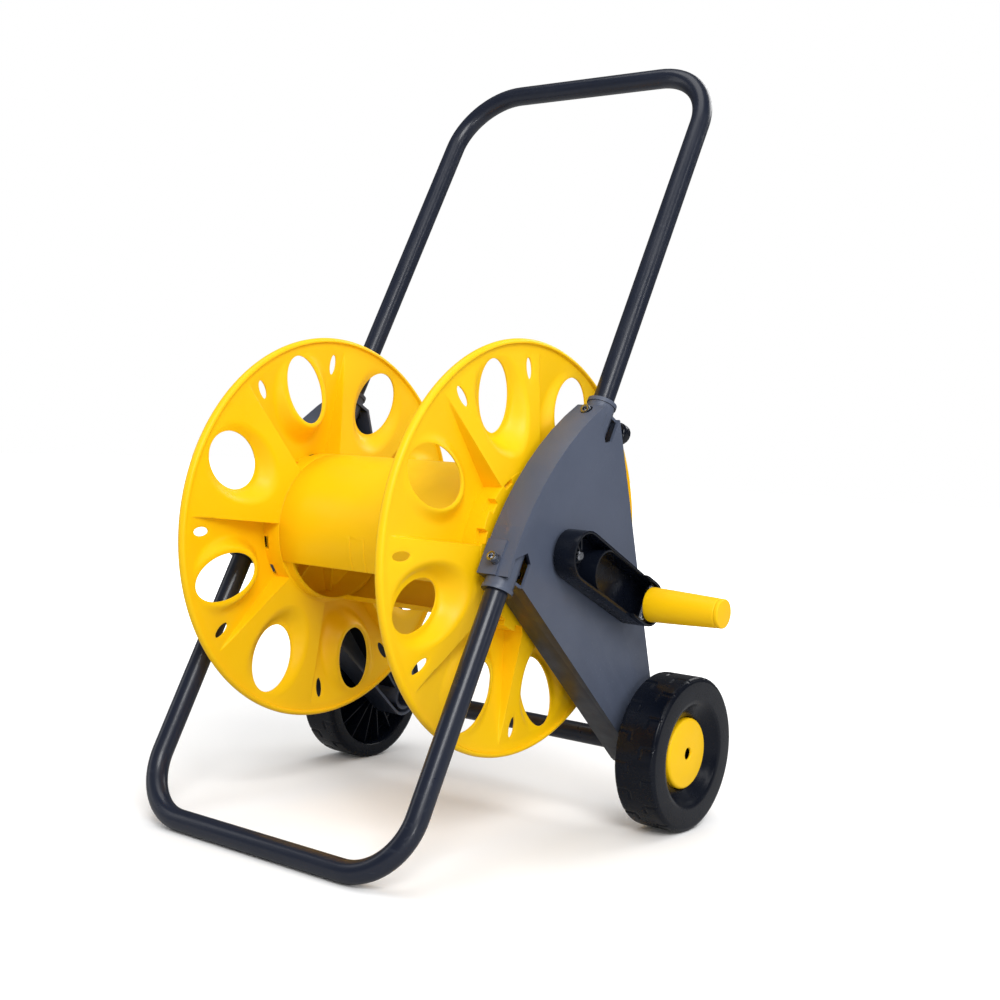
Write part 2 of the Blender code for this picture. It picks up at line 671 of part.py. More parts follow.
def cross_tube(finish, parent):
    end = PANEL_OUT - PLATE - SEAT
    inner = TUBE_RADIUS - TUBE_WALL
    profile = [(-end, TUBE_RADIUS), (end, TUBE_RADIUS), (end, inner), (-end, inner)]
    return add_piece("cross_tube", turned(profile, TUBE_SIDES, math.pi / TUBE_SIDES), finish, parent)


# ---- Wheels


def wheel_profile():
    seat_x = TYRE_OUT - CAP_SEAT_DEPTH
    recess = CAP_RADIUS + 0.0008
    dish_x = TYRE_OUT - DISH_DEPTH
    return [
        (WHEEL_IN, ROD_RADIUS + SEAT),
        (WHEEL_HUB_OUT, ROD_RADIUS + SEAT),
        (WHEEL_HUB_OUT, WHEEL_HUB_RADIUS),
        (seat_x, WHEEL_HUB_RADIUS),
        (seat_x, recess),
        (dish_x, recess),
        (TYRE_OUT - DISH_LIP, DISH_RADIUS - 0.002),
        (TYRE_OUT, DISH_RADIUS),
        (TYRE_OUT, WHEEL_RADIUS - TYRE_CHAMFER * 2),
        (TYRE_OUT - TYRE_CHAMFER, WHEEL_RADIUS),
        (TYRE_IN + TYRE_CHAMFER, WHEEL_RADIUS),
        (TYRE_IN, WHEEL_RADIUS - TYRE_CHAMFER * 2),
        (TYRE_IN, TYRE_HOLLOW_RADIUS),
        (seat_x - WEB, TYRE_HOLLOW_RADIUS - 0.003),
        (seat_x - WEB, WHEEL_HUB_RADIUS),
        (WHEEL_IN, WHEEL_HUB_RADIUS),
    ]


def wheel(name, side, finish, parent):
    return add_piece(name, turned(wheel_profile(), WHEEL_SIDES, math.pi / WHEEL_SIDES), finish, parent, side)


def hub_cap(name, side, finish, parent):
    seat_x = TYRE_OUT - CAP_SEAT_DEPTH + SEAT
    edge_x = TYRE_OUT - DISH_DEPTH + 0.0015
    crown_x = edge_x + 0.0040
    inner = CAP_RADIUS - CAP_WALL
    profile = [
        (seat_x, CAP_RADIUS),
        (edge_x, CAP_RADIUS),
        (edge_x + 0.0022, CAP_RADIUS - 0.0028),
        (crown_x, CAP_RADIUS * 0.6),
        (crown_x, CAP_HOLE_RADIUS),
        (crown_x - CAP_WALL, CAP_HOLE_RADIUS),
        (crown_x - CAP_WALL, CAP_RADIUS * 0.55),
        (edge_x, inner - 0.0012),
        (edge_x - 0.0020, inner),
        (seat_x, inner),
    ]
    return add_piece(name, turned(profile, 32), finish, parent, side)


def rod_ring(name, x0, x1, outer, side, finish, parent):
    """A ring on the axle rod."""
    inner = ROD_RADIUS + SEAT
    profile = [(x0, inner), (x1, inner), (x1, outer), (x0, outer)]
    return add_piece(name, turned(profile, 16), finish, parent, side)


# ---- Reel


def sector_lean(column):
    """How far the sheet stands from the rim plane at the drum, for the sector that starts at a column."""
    return -FOLD_IN if column // (COLUMNS // SECTORS) % 2 == 0 else FOLD_OUT


def flange_column(angle, turn, lean_drum_side, lean_panel_side):
    """One radial section of a flange, as a closed row of points. The sheet leans in a straight line from
    the drum to FOLD_START_RADIUS; outside that is a flat margin and a thick rim, and inside it the hub."""
    half = FLANGE_SHEET / 2
    outer = FLANGE_DIAMETER / 2
    rim = outer - RIM_WIDTH
    thick = RIM_THICKNESS / 2
    plate = HUB_FACE - HUB_PLATE
    sheet = [
        (DRUM_RADIUS, RIM_X + lean_panel_side + half),
        (FOLD_START_RADIUS, RIM_X + half),
        (FOLD_START_RADIUS, RIM_X - half),
        (DRUM_RADIUS, RIM_X + lean_drum_side - half),
    ]
    edge = [
        (rim, RIM_X + half),
        (rim + 0.0012, RIM_X + thick),
        (outer - 0.0012, RIM_X + thick),
        (outer, RIM_X + thick * 0.5),
        (outer, RIM_X - thick * 0.5),
        (outer - 0.0012, RIM_X - thick),
        (rim + 0.0012, RIM_X - thick),
        (rim, RIM_X - half),
    ]
    hub = [
        (DRUM_RADIUS, SHELL_END + SEAT),
        (SPIGOT_RADIUS, SHELL_END + SEAT),
        (SPIGOT_RADIUS, SHELL_END - HUB_SPIGOT),
        (SPIGOT_RADIUS - HUB_RING_WALL, SHELL_END - HUB_SPIGOT),
        (SPIGOT_RADIUS - HUB_RING_WALL - 0.0015, plate),
        (0.0, plate),
        (0.0, HUB_FACE),
        (DRUM_RADIUS, HUB_FACE),
    ]

    def place(radius, x, spread):
        here = angle + (turn * math.asin(half / radius) if spread else 0.0)
        return Vector((x, radius * math.cos(here), radius * math.sin(here)))

    points = [place(*point, True) for point in sheet[:2]]
    points += [place(*point, False) for point in edge]
    points += [place(*point, True) for point in sheet[2:]]
    points += [place(*point, False) for point in hub]
    return points


def flange_body():
    """The hub's cup with the folded sheet round it: sectors lean in and out by turns, joined by steps."""
    per_sector = COLUMNS // SECTORS
    columns = []
    for i in range(COLUMNS):
        angle = SECTOR_START + i * COLUMN_ANGLE
        here, before = sector_lean(i), sector_lean(i - 1)
        if i % per_sector:
            columns.append(flange_column(angle, 0, here, here))
            continue
        low, high = min(here, before), max(here, before)
        columns.append(flange_column(angle, -1 - STEP_DRAFT, before, before))
        columns.append(flange_column(angle, -1 + STEP_DRAFT, low, high))
        columns.append(flange_column(angle, 1 - STEP_DRAFT, low, high))
        columns.append(flange_column(angle, 1 + STEP_DRAFT, here, here))
    return loft(columns, loop=True)


def oval_cutter(angle, distance, length, width, sides):
    """A cutter through the sheet: an ellipse whose long axis lies along a radius of the flange."""
    out = Vector((0, math.cos(angle), math.sin(angle)))
    around = X_AXIS.cross(out)
    reach = X_AXIS * (RIM_THICKNESS + FOLD_OUT)
    centre = out * distance + X_AXIS * RIM_X
    phase = math.pi / sides
    ends = (centre - reach, centre + reach)
    return loft([circle(end, out * length / width, around, width / 2, sides, phase) for end in ends])


def flange(name, side, finish, parent):
    piece = add_piece(name, flange_body(), finish, parent, side)
    added = [turned_bar(HUB_INNER, HUB_FACE - HUB_PLATE / 2, HUB_BOSS_RADIUS, 24)]
    for i in range(HUB_RIBS):
        added.append(hub_rib(SECTOR_START + COLUMN_ANGLE * 2.5 + 2 * math.pi * i / HUB_RIBS))
    combine(piece, "UNION", added, side)
    bore_end = HUB_INNER - OVERCUT if side < 0 else HUB_INNER + HUB_END
    cuts = [turned_bar(bore_end, HUB_FACE + OVERCUT, BORE_RADIUS, 24)]
    if side > 0:
        cuts.append(turned_bar(HUB_INNER - OVERCUT, bore_end + OVERCUT, SCREW_RADIUS + SEAT, 12))
    for i in range(SECTORS):
        angle = SECTOR_START + (i + 0.5) * 2 * math.pi / SECTORS
        width = HOLE_WIDTH_OUT if i % 2 else HOLE_WIDTH_IN
        cuts.append(oval_cutter(angle, HOLE_CIRCLE, HOLE_LENGTH, width, HOLE_SIDES))
        if i % 2:
            for spread in (-SLOT_SPREAD, SLOT_SPREAD):
                cuts.append(oval_cutter(angle + spread, SLOT_CIRCLE, SLOT_LENGTH, SLOT_WIDTH, SLOT_SIDES))
    combine(piece, "DIFFERENCE", cuts, side)
    return piece


def turned_bar(x0, x1, radius, sides):
    return turned([(x0, 0.0), (x0, radius), (x1, radius), (x1, 0.0)], sides)


def hub_rib(angle):
    """A three-sided rib in the hub's cup, tall at the boss and low at the ring."""
    outline = [
        (HUB_FACE - HUB_PLATE / 2, HUB_BOSS_RADIUS - 0.002),
        (HUB_INNER + 0.004, HUB_BOSS_RADIUS - 0.002),
        (HUB_FACE - HUB_PLATE - 0.006, SPIGOT_RADIUS - 0.001),
        (HUB_FACE - HUB_PLATE / 2, SPIGOT_RADIUS - 0.001),
    ]
    out = Vector((0, math.cos(angle), math.sin(angle)))
    side = Vector((0, -math.sin(angle), math.cos(angle))) * (RIB / 2)
    return loft([[X_AXIS * x + out * r + side * turn for x, r in outline] for turn in (-1, 1)])


def drum_shell(name, first, last, finish, parent):
    """A curved shell between the flanges, over the columns from first to last."""
    angles = [SECTOR_START + i * COLUMN_ANGLE for i in range(first, last + 1)]
    inner = DRUM_RADIUS - SHELL_WALL
    outline = [(DRUM_RADIUS * math.cos(a), DRUM_RADIUS * math.sin(a)) for a in angles]
    outline += [(inner * math.cos(a), inner * math.sin(a)) for a in angles[::-1]]
    return add_piece(name, prism(outline, -SHELL_END, SHELL_END), finish, parent)


def water_shaft(finish, parent):
    """A hollow shaft through the left flange and panel; inside the drum it turns into an outlet."""
    out = Vector((0, math.cos(ELBOW_ANGLE), math.sin(ELBOW_ANGLE)))
    tip_start = ARM_BACK
    elbow = X_AXIS * ELBOW_X
    body = turned_bar(ELBOW_X - 0.012, tip_start, SHAFT_RADIUS, 24)
    piece = add_piece("water_shaft", body, finish, parent, -1)
    collar_end = HUB_INNER - SEAT
    bead = elbow + out * (ELBOW_REACH - 0.010)
    combine(
        piece,
        "UNION",
        [
            turned_bar(tip_start - 0.001, tip_start + SHAFT_TIP_LENGTH, SHAFT_TIP_RADIUS, 24),
            turned_bar(collar_end - SHAFT_COLLAR, collar_end, SHAFT_COLLAR_RADIUS, 24),
            rod(elbow, elbow + out * ELBOW_REACH, ELBOW_RADIUS),
            rod(bead - out * 0.006, bead, ELBOW_RADIUS + 0.002),
        ],
        -1,
    )
    combine(
        piece,
        "DIFFERENCE",
        [
            turned_bar(ELBOW_X, tip_start + SHAFT_TIP_LENGTH + OVERCUT, SHAFT_BORE, 12),
            rod(elbow, elbow + out * (ELBOW_REACH + OVERCUT), SHAFT_BORE, 12),
        ],
        -1,
    )
    return piece


def connector_start():
    return ARM_BACK + 0.0008


def inlet_connector(finish, parent):
    """A cup that swivels on the shaft's tip, then a neck and a tip for a push-on hose fitting."""
    start = connector_start()
    cup_end = start + CONNECTOR_CUP
    floor = ARM_BACK + SHAFT_TIP_LENGTH + 0.0006
    neck_end = cup_end + CONNECTOR_NECK
    tip_end = neck_end + CONNECTOR_TIP
    groove = start + SEAL_PLACE
    bore = SHAFT_TIP_RADIUS + SEAT
    groove_radius = bore + 0.0021
    profile = [
        (start, bore),
        (groove - SEAL_GROOVE_HALF, bore),
        (groove - SEAL_GROOVE_HALF, groove_radius),
        (groove + SEAL_GROOVE_HALF, groove_radius),
        (groove + SEAL_GROOVE_HALF, bore),
        (floor, bore),
        (floor, CONNECTOR_BORE),
        (tip_end, CONNECTOR_BORE),
        (tip_end, CONNECTOR_TIP_RADIUS - 0.0016),
        (tip_end - 0.0030, CONNECTOR_TIP_RADIUS),
        (neck_end + 0.0010, CONNECTOR_TIP_RADIUS),
        (neck_end, CONNECTOR_NECK_RADIUS),
        (cup_end, CONNECTOR_NECK_RADIUS),
        (cup_end, CONNECTOR_RADIUS - 0.001),
        (cup_end - 0.001, CONNECTOR_RADIUS),
        (start + 0.001, CONNECTOR_RADIUS),
        (start, CONNECTOR_RADIUS - 0.001),
    ]
    return add_piece("inlet_connector", turned(profile, 24), finish, parent, -1)


def inlet_seal(finish, parent):
    centre = connector_start() + SEAL_PLACE
    middle = SHAFT_TIP_RADIUS + SEAT + SEAL_SECTION
    profile = []
    for i in range(8):
        angle = 2 * math.pi * i / 8
        profile.append((centre + SEAL_SECTION * math.cos(angle), middle + SEAL_SECTION * math.sin(angle)))
    return add_piece("inlet_seal", turned(profile, 24), finish, parent, -1)


# ---- Crank


def crank_place(u, w, x):
    return CRANK_U * u + CRANK_W * w + X_AXIS * x


def crank_arm(finish, parent):
    """An open tray: a floor, a wall round it, a U-shaped wall where the grip folds in, ribs round the
    screw, and cheeks for the hinge pin. A spigot on its back turns in the panel and drives the reel."""
    steps = 12
    radii = (CRANK_HUB_RADIUS, CRANK_END_RADIUS)
    inner = tuple(r - CRANK_WALL for r in radii)
    outer = obround(0, CRANK_LENGTH, *radii, steps)
    piece = add_piece("crank_arm", prism(outer, ARM_BACK, ARM_FRONT), finish, parent)
    hollow = prism(obround(0, CRANK_LENGTH, *inner, steps), ARM_FLOOR, ARM_FRONT + OVERCUT)
    combine(piece, "DIFFERENCE", [hollow])

    cheek_top = ARM_FRONT + CRANK_CHEEK
    sunk = ARM_FLOOR - 0.001  # the walls start inside the floor
    cheeks = tray_block(CRANK_CHEEK_START, CRANK_END_RADIUS - 0.0001, sunk, cheek_top)
    added = [cheeks, tray_block(TRAY_START, CRANK_END_RADIUS - 0.0006, sunk, ARM_FRONT - 0.001)]
    for i in range(CRANK_RIBS):
        angle = math.pi * (0.5 + (i + 1) / (CRANK_RIBS + 1))
        out = Vector((math.cos(angle), math.sin(angle)))
        thick = Vector((-out.y, out.x)) * 0.0009
        ends = [out * 0.006, out * (CRANK_HUB_RADIUS - CRANK_WALL / 2)]
        corners = [ends[0] - thick, ends[1] - thick, ends[1] + thick, ends[0] + thick]
        outline = [flat(crank_place(c.x, c.y, 0)) for c in corners]
        added.append(prism(outline, sunk, ARM_FRONT - 0.008))
    added.append(turned_bar(sunk, ARM_FLOOR + SCREW_BOSS, SCREW_BOSS_RADIUS, 20))
    added.append(turned_bar(HUB_INNER + HUB_END + SEAT, ARM_BACK + 0.001, SHAFT_RADIUS, 24))
    combine(piece, "UNION", added)

    tray = tray_block(TRAY_START, CRANK_END_RADIUS - CRANK_WALL, ARM_FLOOR, cheek_top + OVERCUT)
    past = CRANK_END_RADIUS + 0.0074
    pin_ends = [crank_place(PIVOT_U, w, PIVOT_X) for w in (-past, past)]
    pin = rod(*pin_ends, PIN_RADIUS + SEAT, 12)
    screw_hole = turned_bar(HUB_INNER, ARM_FLOOR + SCREW_BOSS + OVERCUT, SCREW_RADIUS + SEAT, 12)
    combine(piece, "DIFFERENCE", [tray, pin, screw_hole])
    return piece


def tray_block(start, radius, x0, x1):
    """A round-ended block along the crank, from a circle at start to one at the hinge's end."""
    return prism(obround(start, CRANK_LENGTH, radius, radius - 0.00001, 12), x0, x1)


def crank_screw(finish, parent):
    head_in = ARM_FLOOR + SCREW_BOSS + SEAT
    start = HUB_INNER - 0.002
    profile = [
        (start, 0.0),
        (start, SCREW_RADIUS),
        (head_in, SCREW_RADIUS),
        (head_in, SCREW_HEAD_RADIUS),
        (head_in + SCREW_HEAD * 0.6, SCREW_HEAD_RADIUS),
        (head_in + SCREW_HEAD, SCREW_HEAD_RADIUS * 0.7),
        (head_in + SCREW_HEAD, 0.0),
    ]
    return add_piece("crank_screw", turned(profile, 12), finish, parent)


def grip_pin(finish, parent):
    reach = CRANK_END_RADIUS * 0.985
    start, end = crank_place(0, -reach, 0), crank_place(0, reach, 0)
    return add_piece("grip_pin", rod(start, end, PIN_RADIUS, 12), finish, parent)


def grip_spindle(finish, parent):
    half = CRANK_END_RADIUS - CRANK_WALL - 0.0024
    knuckle = rod(crank_place(0, -half, 0), crank_place(0, half, 0), KNUCKLE_RADIUS)
    piece = add_piece("grip_spindle", knuckle, finish, parent)
    end = GRIP_OFFSET + GRIP_LENGTH - GRIP_END_WALL - 0.001
    combine(piece, "UNION", [turned_bar(0.0, end, SPINDLE_RADIUS, 16)])
    past = half + OVERCUT
    hole = rod(crank_place(0, -past, 0), crank_place(0, past, 0), PIN_RADIUS + SEAT, 12)
    combine(piece, "DIFFERENCE", [hole])
    return piece


def grip(finish, parent):
    """A tapered sleeve with a closed end, a small groove before that end and a bore for the spindle."""
    base, end = GRIP_OFFSET, GRIP_OFFSET + GRIP_LENGTH
    bore_end = end - GRIP_END_WALL
    bore = SPINDLE_RADIUS + SEAT
    lip = 0.0045
    near_end = GRIP_END_RADIUS + (GRIP_BASE_RADIUS - GRIP_END_RADIUS) * lip / GRIP_LENGTH
    profile = [
        (bore_end, 0.0),
        (bore_end, bore),
        (base, bore),
        (base, GRIP_BASE_RADIUS - GRIP_EDGE),
        (base + GRIP_EDGE, GRIP_BASE_RADIUS),
        (end - lip - 0.0008, near_end),
        (end - lip, near_end - 0.0005),
        (end - lip + 0.0008, near_end),
        (end - GRIP_EDGE, GRIP_END_RADIUS),
        (end, GRIP_END_RADIUS - GRIP_EDGE),
        (end, 0.0),
    ]
    return add_piece("grip", turned(profile, 28), finish, parent)


def build():
    for old in list(bpy.data.objects):
        bpy.data.objects.remove(old, do_unlink=True)

    yellow = make_finish("yellow_plastic", (0.98, 0.55, 0.01), 0.35)
    grey = make_finish("grey_plastic", (0.11, 0.13, 0.18), 0.45)
    black = make_finish("black_plastic", (0.012, 0.014, 0.02), 0.35)
    paint = make_finish("tube_paint", (0.02, 0.027, 0.045), 0.2)
    steel = make_finish("zinc_steel", (0.55, 0.56, 0.58), 0.35, 1.0)
    rubber = make_finish("seal_rubber", (0.02, 0.02, 0.02), 0.7)

    cart = make_axis("cart_origin", (0, 0, 0))
    reel = make_axis("reel_axis", (0, REEL_Y, REEL_Z))
    wheels = make_axis("wheel_axis", (0, WHEEL_Y, WHEEL_Z))
    hinge = make_axis("grip_hinge", crank_place(PIVOT_U, 0, PIVOT_X))
    hinge.parent = reel

    handle_leg = -HANDLE_REACH - HANDLE_INSERT
    foot_leg = FOOT_REACH + FOOT_INSERT
    handle = bent_tube("handle_tube", HANDLE_BAR, HANDLE_UP, HANDLE_BEND, handle_leg, paint, cart)
    foot = bent_tube("foot_tube", FOOT_BAR, FOOT_UP, FOOT_BEND, foot_leg, paint, cart)
    drill_legs(handle, handle_bolt_line())
    drill_legs(foot, foot_bolt_line())
    cross_tube(paint, wheels)
    add_piece("axle_rod", turned_bar(-ROD_END, ROD_END, ROD_RADIUS, 16), steel, wheels)

    handle_front, handle_back, foot_front, foot_back = bolt_seats(panel_outline())
    handle_shank = handle_back + KNOB_THREAD_DEPTH - 0.002
    foot_shank = foot_back + NUT_THICKNESS + 0.0035
    for word, side in (("right", 1), ("left", -1)):
        side_panel(f"side_panel_{word}", side, grey, cart)
        shank = handle_shank if side > 0 else handle_back + NUT_THICKNESS + 0.0035
        bolt(f"handle_bolt_{word}", handle_bolt_line(), handle_front, shank, side, steel, cart)
        bolt(f"foot_bolt_{word}", foot_bolt_line(), foot_front, foot_shank, side, steel, cart)
        nut(f"foot_nut_{word}", foot_bolt_line(), foot_back, side, steel, cart)
        washer_out = WHEEL_IN - SEAT
        washer = f"axle_washer_{word}"
        rod_ring(washer, washer_out - WASHER, washer_out, WASHER_RADIUS, side, steel, wheels)
        wheel(f"wheel_{word}", side, black, wheels)
        hub_cap(f"hub_cap_{word}", side, yellow, wheels)
        retainer = f"axle_retainer_{word}"
        rod_ring(retainer, RETAINER_IN, RETAINER_IN + RETAINER, RETAINER_RADIUS, side, steel, wheels)
        flange(f"flange_{word}", side, yellow, reel)
    knob("handle_knob", handle_bolt_line(), handle_back, 1, black, cart)
    nut("handle_nut", handle_bolt_line(), handle_back, -1, steel, cart)
    drum_shell("drum_shell_front", REAR_WINDOW[1] - COLUMNS, FRONT_WINDOW[0], yellow, reel)
    drum_shell("drum_shell_rear", FRONT_WINDOW[1], REAR_WINDOW[0], yellow, reel)
    water_shaft(grey, reel)
    inlet_connector(black, reel)
    inlet_seal(rubber, reel)
    crank_arm(black, reel)
    crank_screw(steel, reel)
    grip_pin(steel, hinge)
    grip_spindle(steel, hinge)
    grip(yellow, hinge)


build()
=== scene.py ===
import json
import math

import bmesh
import bpy
import numpy as np
from mathutils import Matrix, Vector


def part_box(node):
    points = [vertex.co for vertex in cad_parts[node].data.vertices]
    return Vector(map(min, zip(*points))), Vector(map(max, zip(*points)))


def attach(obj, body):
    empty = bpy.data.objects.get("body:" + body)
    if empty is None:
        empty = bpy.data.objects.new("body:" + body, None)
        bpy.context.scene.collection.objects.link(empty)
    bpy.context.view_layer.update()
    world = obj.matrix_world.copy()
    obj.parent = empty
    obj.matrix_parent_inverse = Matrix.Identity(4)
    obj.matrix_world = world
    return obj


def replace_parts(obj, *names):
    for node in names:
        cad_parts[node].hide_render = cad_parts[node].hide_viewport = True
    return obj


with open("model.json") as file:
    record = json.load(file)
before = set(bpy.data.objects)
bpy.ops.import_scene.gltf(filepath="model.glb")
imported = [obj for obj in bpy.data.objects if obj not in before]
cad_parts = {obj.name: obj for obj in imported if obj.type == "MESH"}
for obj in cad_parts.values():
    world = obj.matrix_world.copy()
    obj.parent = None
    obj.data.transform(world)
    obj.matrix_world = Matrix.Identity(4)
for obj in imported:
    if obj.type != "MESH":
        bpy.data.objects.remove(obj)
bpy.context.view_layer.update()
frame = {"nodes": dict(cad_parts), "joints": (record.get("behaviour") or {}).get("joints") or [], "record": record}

tau = 2 * math.pi
nodes = frame["nodes"]
joints = {j["name"]: j for j in frame["joints"]}
reelY, reelZ = joints["reel_spin"]["pos_m"][1:]
wheelY, wheelZ = joints["wheel_right_spin"]["pos_m"][1:]

camera = dict(place=(0.9400, -0.8988, 0.3984), turn=37.216, tilt=2.880, roll=2.820, focal=1434.5)


def addCamera(c):
    # the view runs level along +Y at turn 0; tilt looks down, roll leans the picture
    turn, tilt, roll = (math.radians(c[k]) for k in ("turn", "tilt", "roll"))
    back = Vector((math.sin(turn) * math.cos(tilt), -math.cos(turn) * math.cos(tilt), math.sin(tilt)))
    right = (-back).cross(Vector((0, 0, 1))).normalized()
    up = right.cross(-back)
    rolledRight = right * math.cos(roll) + up * math.sin(roll)
    rolledUp = up * math.cos(roll) - right * math.sin(roll)
    data = bpy.data.cameras.new("camera")
    data.sensor_width = 36
    data.lens = 36 * c["focal"] / 1000
    data.clip_start, data.clip_end = 0.05, 50
    cam = bpy.data.objects.new("camera", data)
    bpy.context.scene.collection.objects.link(cam)
    basis = Matrix((rolledRight, rolledUp, back)).transposed().to_4x4()
    cam.matrix_world = Matrix.Translation(c["place"]) @ basis
    bpy.context.scene.camera = cam


addCamera(camera)

lights = [
    # name, place, aimed at, width, height, watts
    ("key", (2.3, -1.9, 2.5), (0, 0.2, 0.35), 1.6, 1.6, 92),
    ("top", (-0.2, 0.0, 3.2), (0, 0.2, 0.3), 2.4, 1.6, 24),
    ("left", (-2.6, -1.2, 1.3), (0, 0.2, 0.35), 0.9, 2.2, 9),
    ("right", (2.9, 0.6, 1.6), (0, 0.2, 0.4), 0.3, 2.0, 9),
    ("edge", (2.4, -1.5, 0.28), (0, 0.2, 0.40), 0.25, 0.45, 9),
    ("back", (0.4, 2.8, 2.0), (0, 0.2, 0.4), 2.2, 1.2, 30),
]


def addLight(name, place, target, width, height, watts):
    data = bpy.data.lights.new(name, "AREA")
    data.shape = "RECTANGLE"
    data.size, data.size_y = width, height
    data.energy = watts
    lamp = bpy.data.objects.new(name, data)
    lamp.location = place
    lamp.rotation_euler = (Vector(target) - Vector(place)).to_track_quat("-Z", "Y").to_euler()
    bpy.context.scene.collection.objects.link(lamp)


for row in lights:
    addLight(*row)


def rayMix(tree, kind, other, value):
    # one strength for a kind of ray and another, or an earlier mix, for the rest
    path = tree.nodes.new("ShaderNodeLightPath")
    mix = tree.nodes.new("ShaderNodeMix")
    mix.data_type = "FLOAT"
    tree.links.new(path.outputs[kind], mix.inputs[0])
    if isinstance(other, float):
        mix.inputs[2].default_value = other
    else:
        tree.links.new(other, mix.inputs[2])
    mix.inputs[3].default_value = value
    return mix.outputs[0]


room = dict(seen=1.0, lighting=0.60, mirrored=0.12)


def addRoom(r):
    # a white room that lights softly but mirrors dark, so glossy dark parts stay dark
    world = bpy.data.worlds.new("paleRoom")
    world.use_nodes = True
    back = world.node_tree.nodes["Background"]
    back.inputs["Color"].default_value = (1, 1, 1, 1)
    strength = rayMix(world.node_tree, "Is Glossy Ray", r["lighting"], r["mirrored"])
    strength = rayMix(world.node_tree, "Is Camera Ray", strength, r["seen"])
    world.node_tree.links.new(strength, back.inputs["Strength"])
    bpy.context.scene.world = world


addRoom(room)
bpy.context.scene.view_settings.view_transform = "Standard"

# finishes: noise on Object coordinates drives colour, roughness, scuffs and bump; on the grey, painted shade
# darkens faces that look down
finishes = {
    "yellow_plastic": dict(
        colour=(0.95, 0.570, 0.003), second=(0.92, 0.535, 0.002), rough=(0.34, 0.48), shine=0.22,
        patch=9, grain=1400, bump=0.05, subsurface=0.06, glow=(0.006, 0.004, 0.0004),
        scuff=(0.98, 0.68, 0.06), scuffs=0.12,
    ),
    "grey_plastic": dict(
        colour=(0.080, 0.096, 0.140), second=(0.070, 0.085, 0.126), rough=(0.34, 0.48), shine=0.35,
        # under is painted shade: a near-black colour mixed in where faces look down
        patch=11, grain=2100, bump=0.12, under=(0.010, 0.014, 0.026),
        scuff=(0.14, 0.16, 0.21), scuffs=0.30,
    ),
    "black_plastic": dict(
        colour=(0.0026, 0.0040, 0.0085), second=(0.0045, 0.0062, 0.0115), rough=(0.18, 0.32), shine=0.20,
        patch=14, grain=1900, bump=0.08,
        scuff=(0.030, 0.034, 0.045), scuffs=0.25,
    ),
    "tube_paint": dict(
        colour=(0.0075, 0.0110, 0.023), second=(0.0100, 0.0140, 0.028), rough=(0.27, 0.37), shine=0.40,
        patch=7, grain=420, bump=0.08, coat=0.12,
        scuff=(0.045, 0.052, 0.070), scuffs=0.25,
    ),
    "zinc_steel": dict(
        colour=(0.34, 0.36, 0.40), second=(0.22, 0.23, 0.26), rough=(0.16, 0.30), metal=1.0,
        patch=90, grain=2600, bump=0.12,
        scuff=(0.20, 0.20, 0.21), scuffs=0.3,
    ),
    "seal_rubber": dict(
        colour=(0.012, 0.012, 0.013), second=(0.02, 0.02, 0.02), rough=(0.6, 0.75),
        patch=60, grain=2400, bump=0.2,
        scuff=(0.05, 0.05, 0.05), scuffs=0.2,
    ),
}


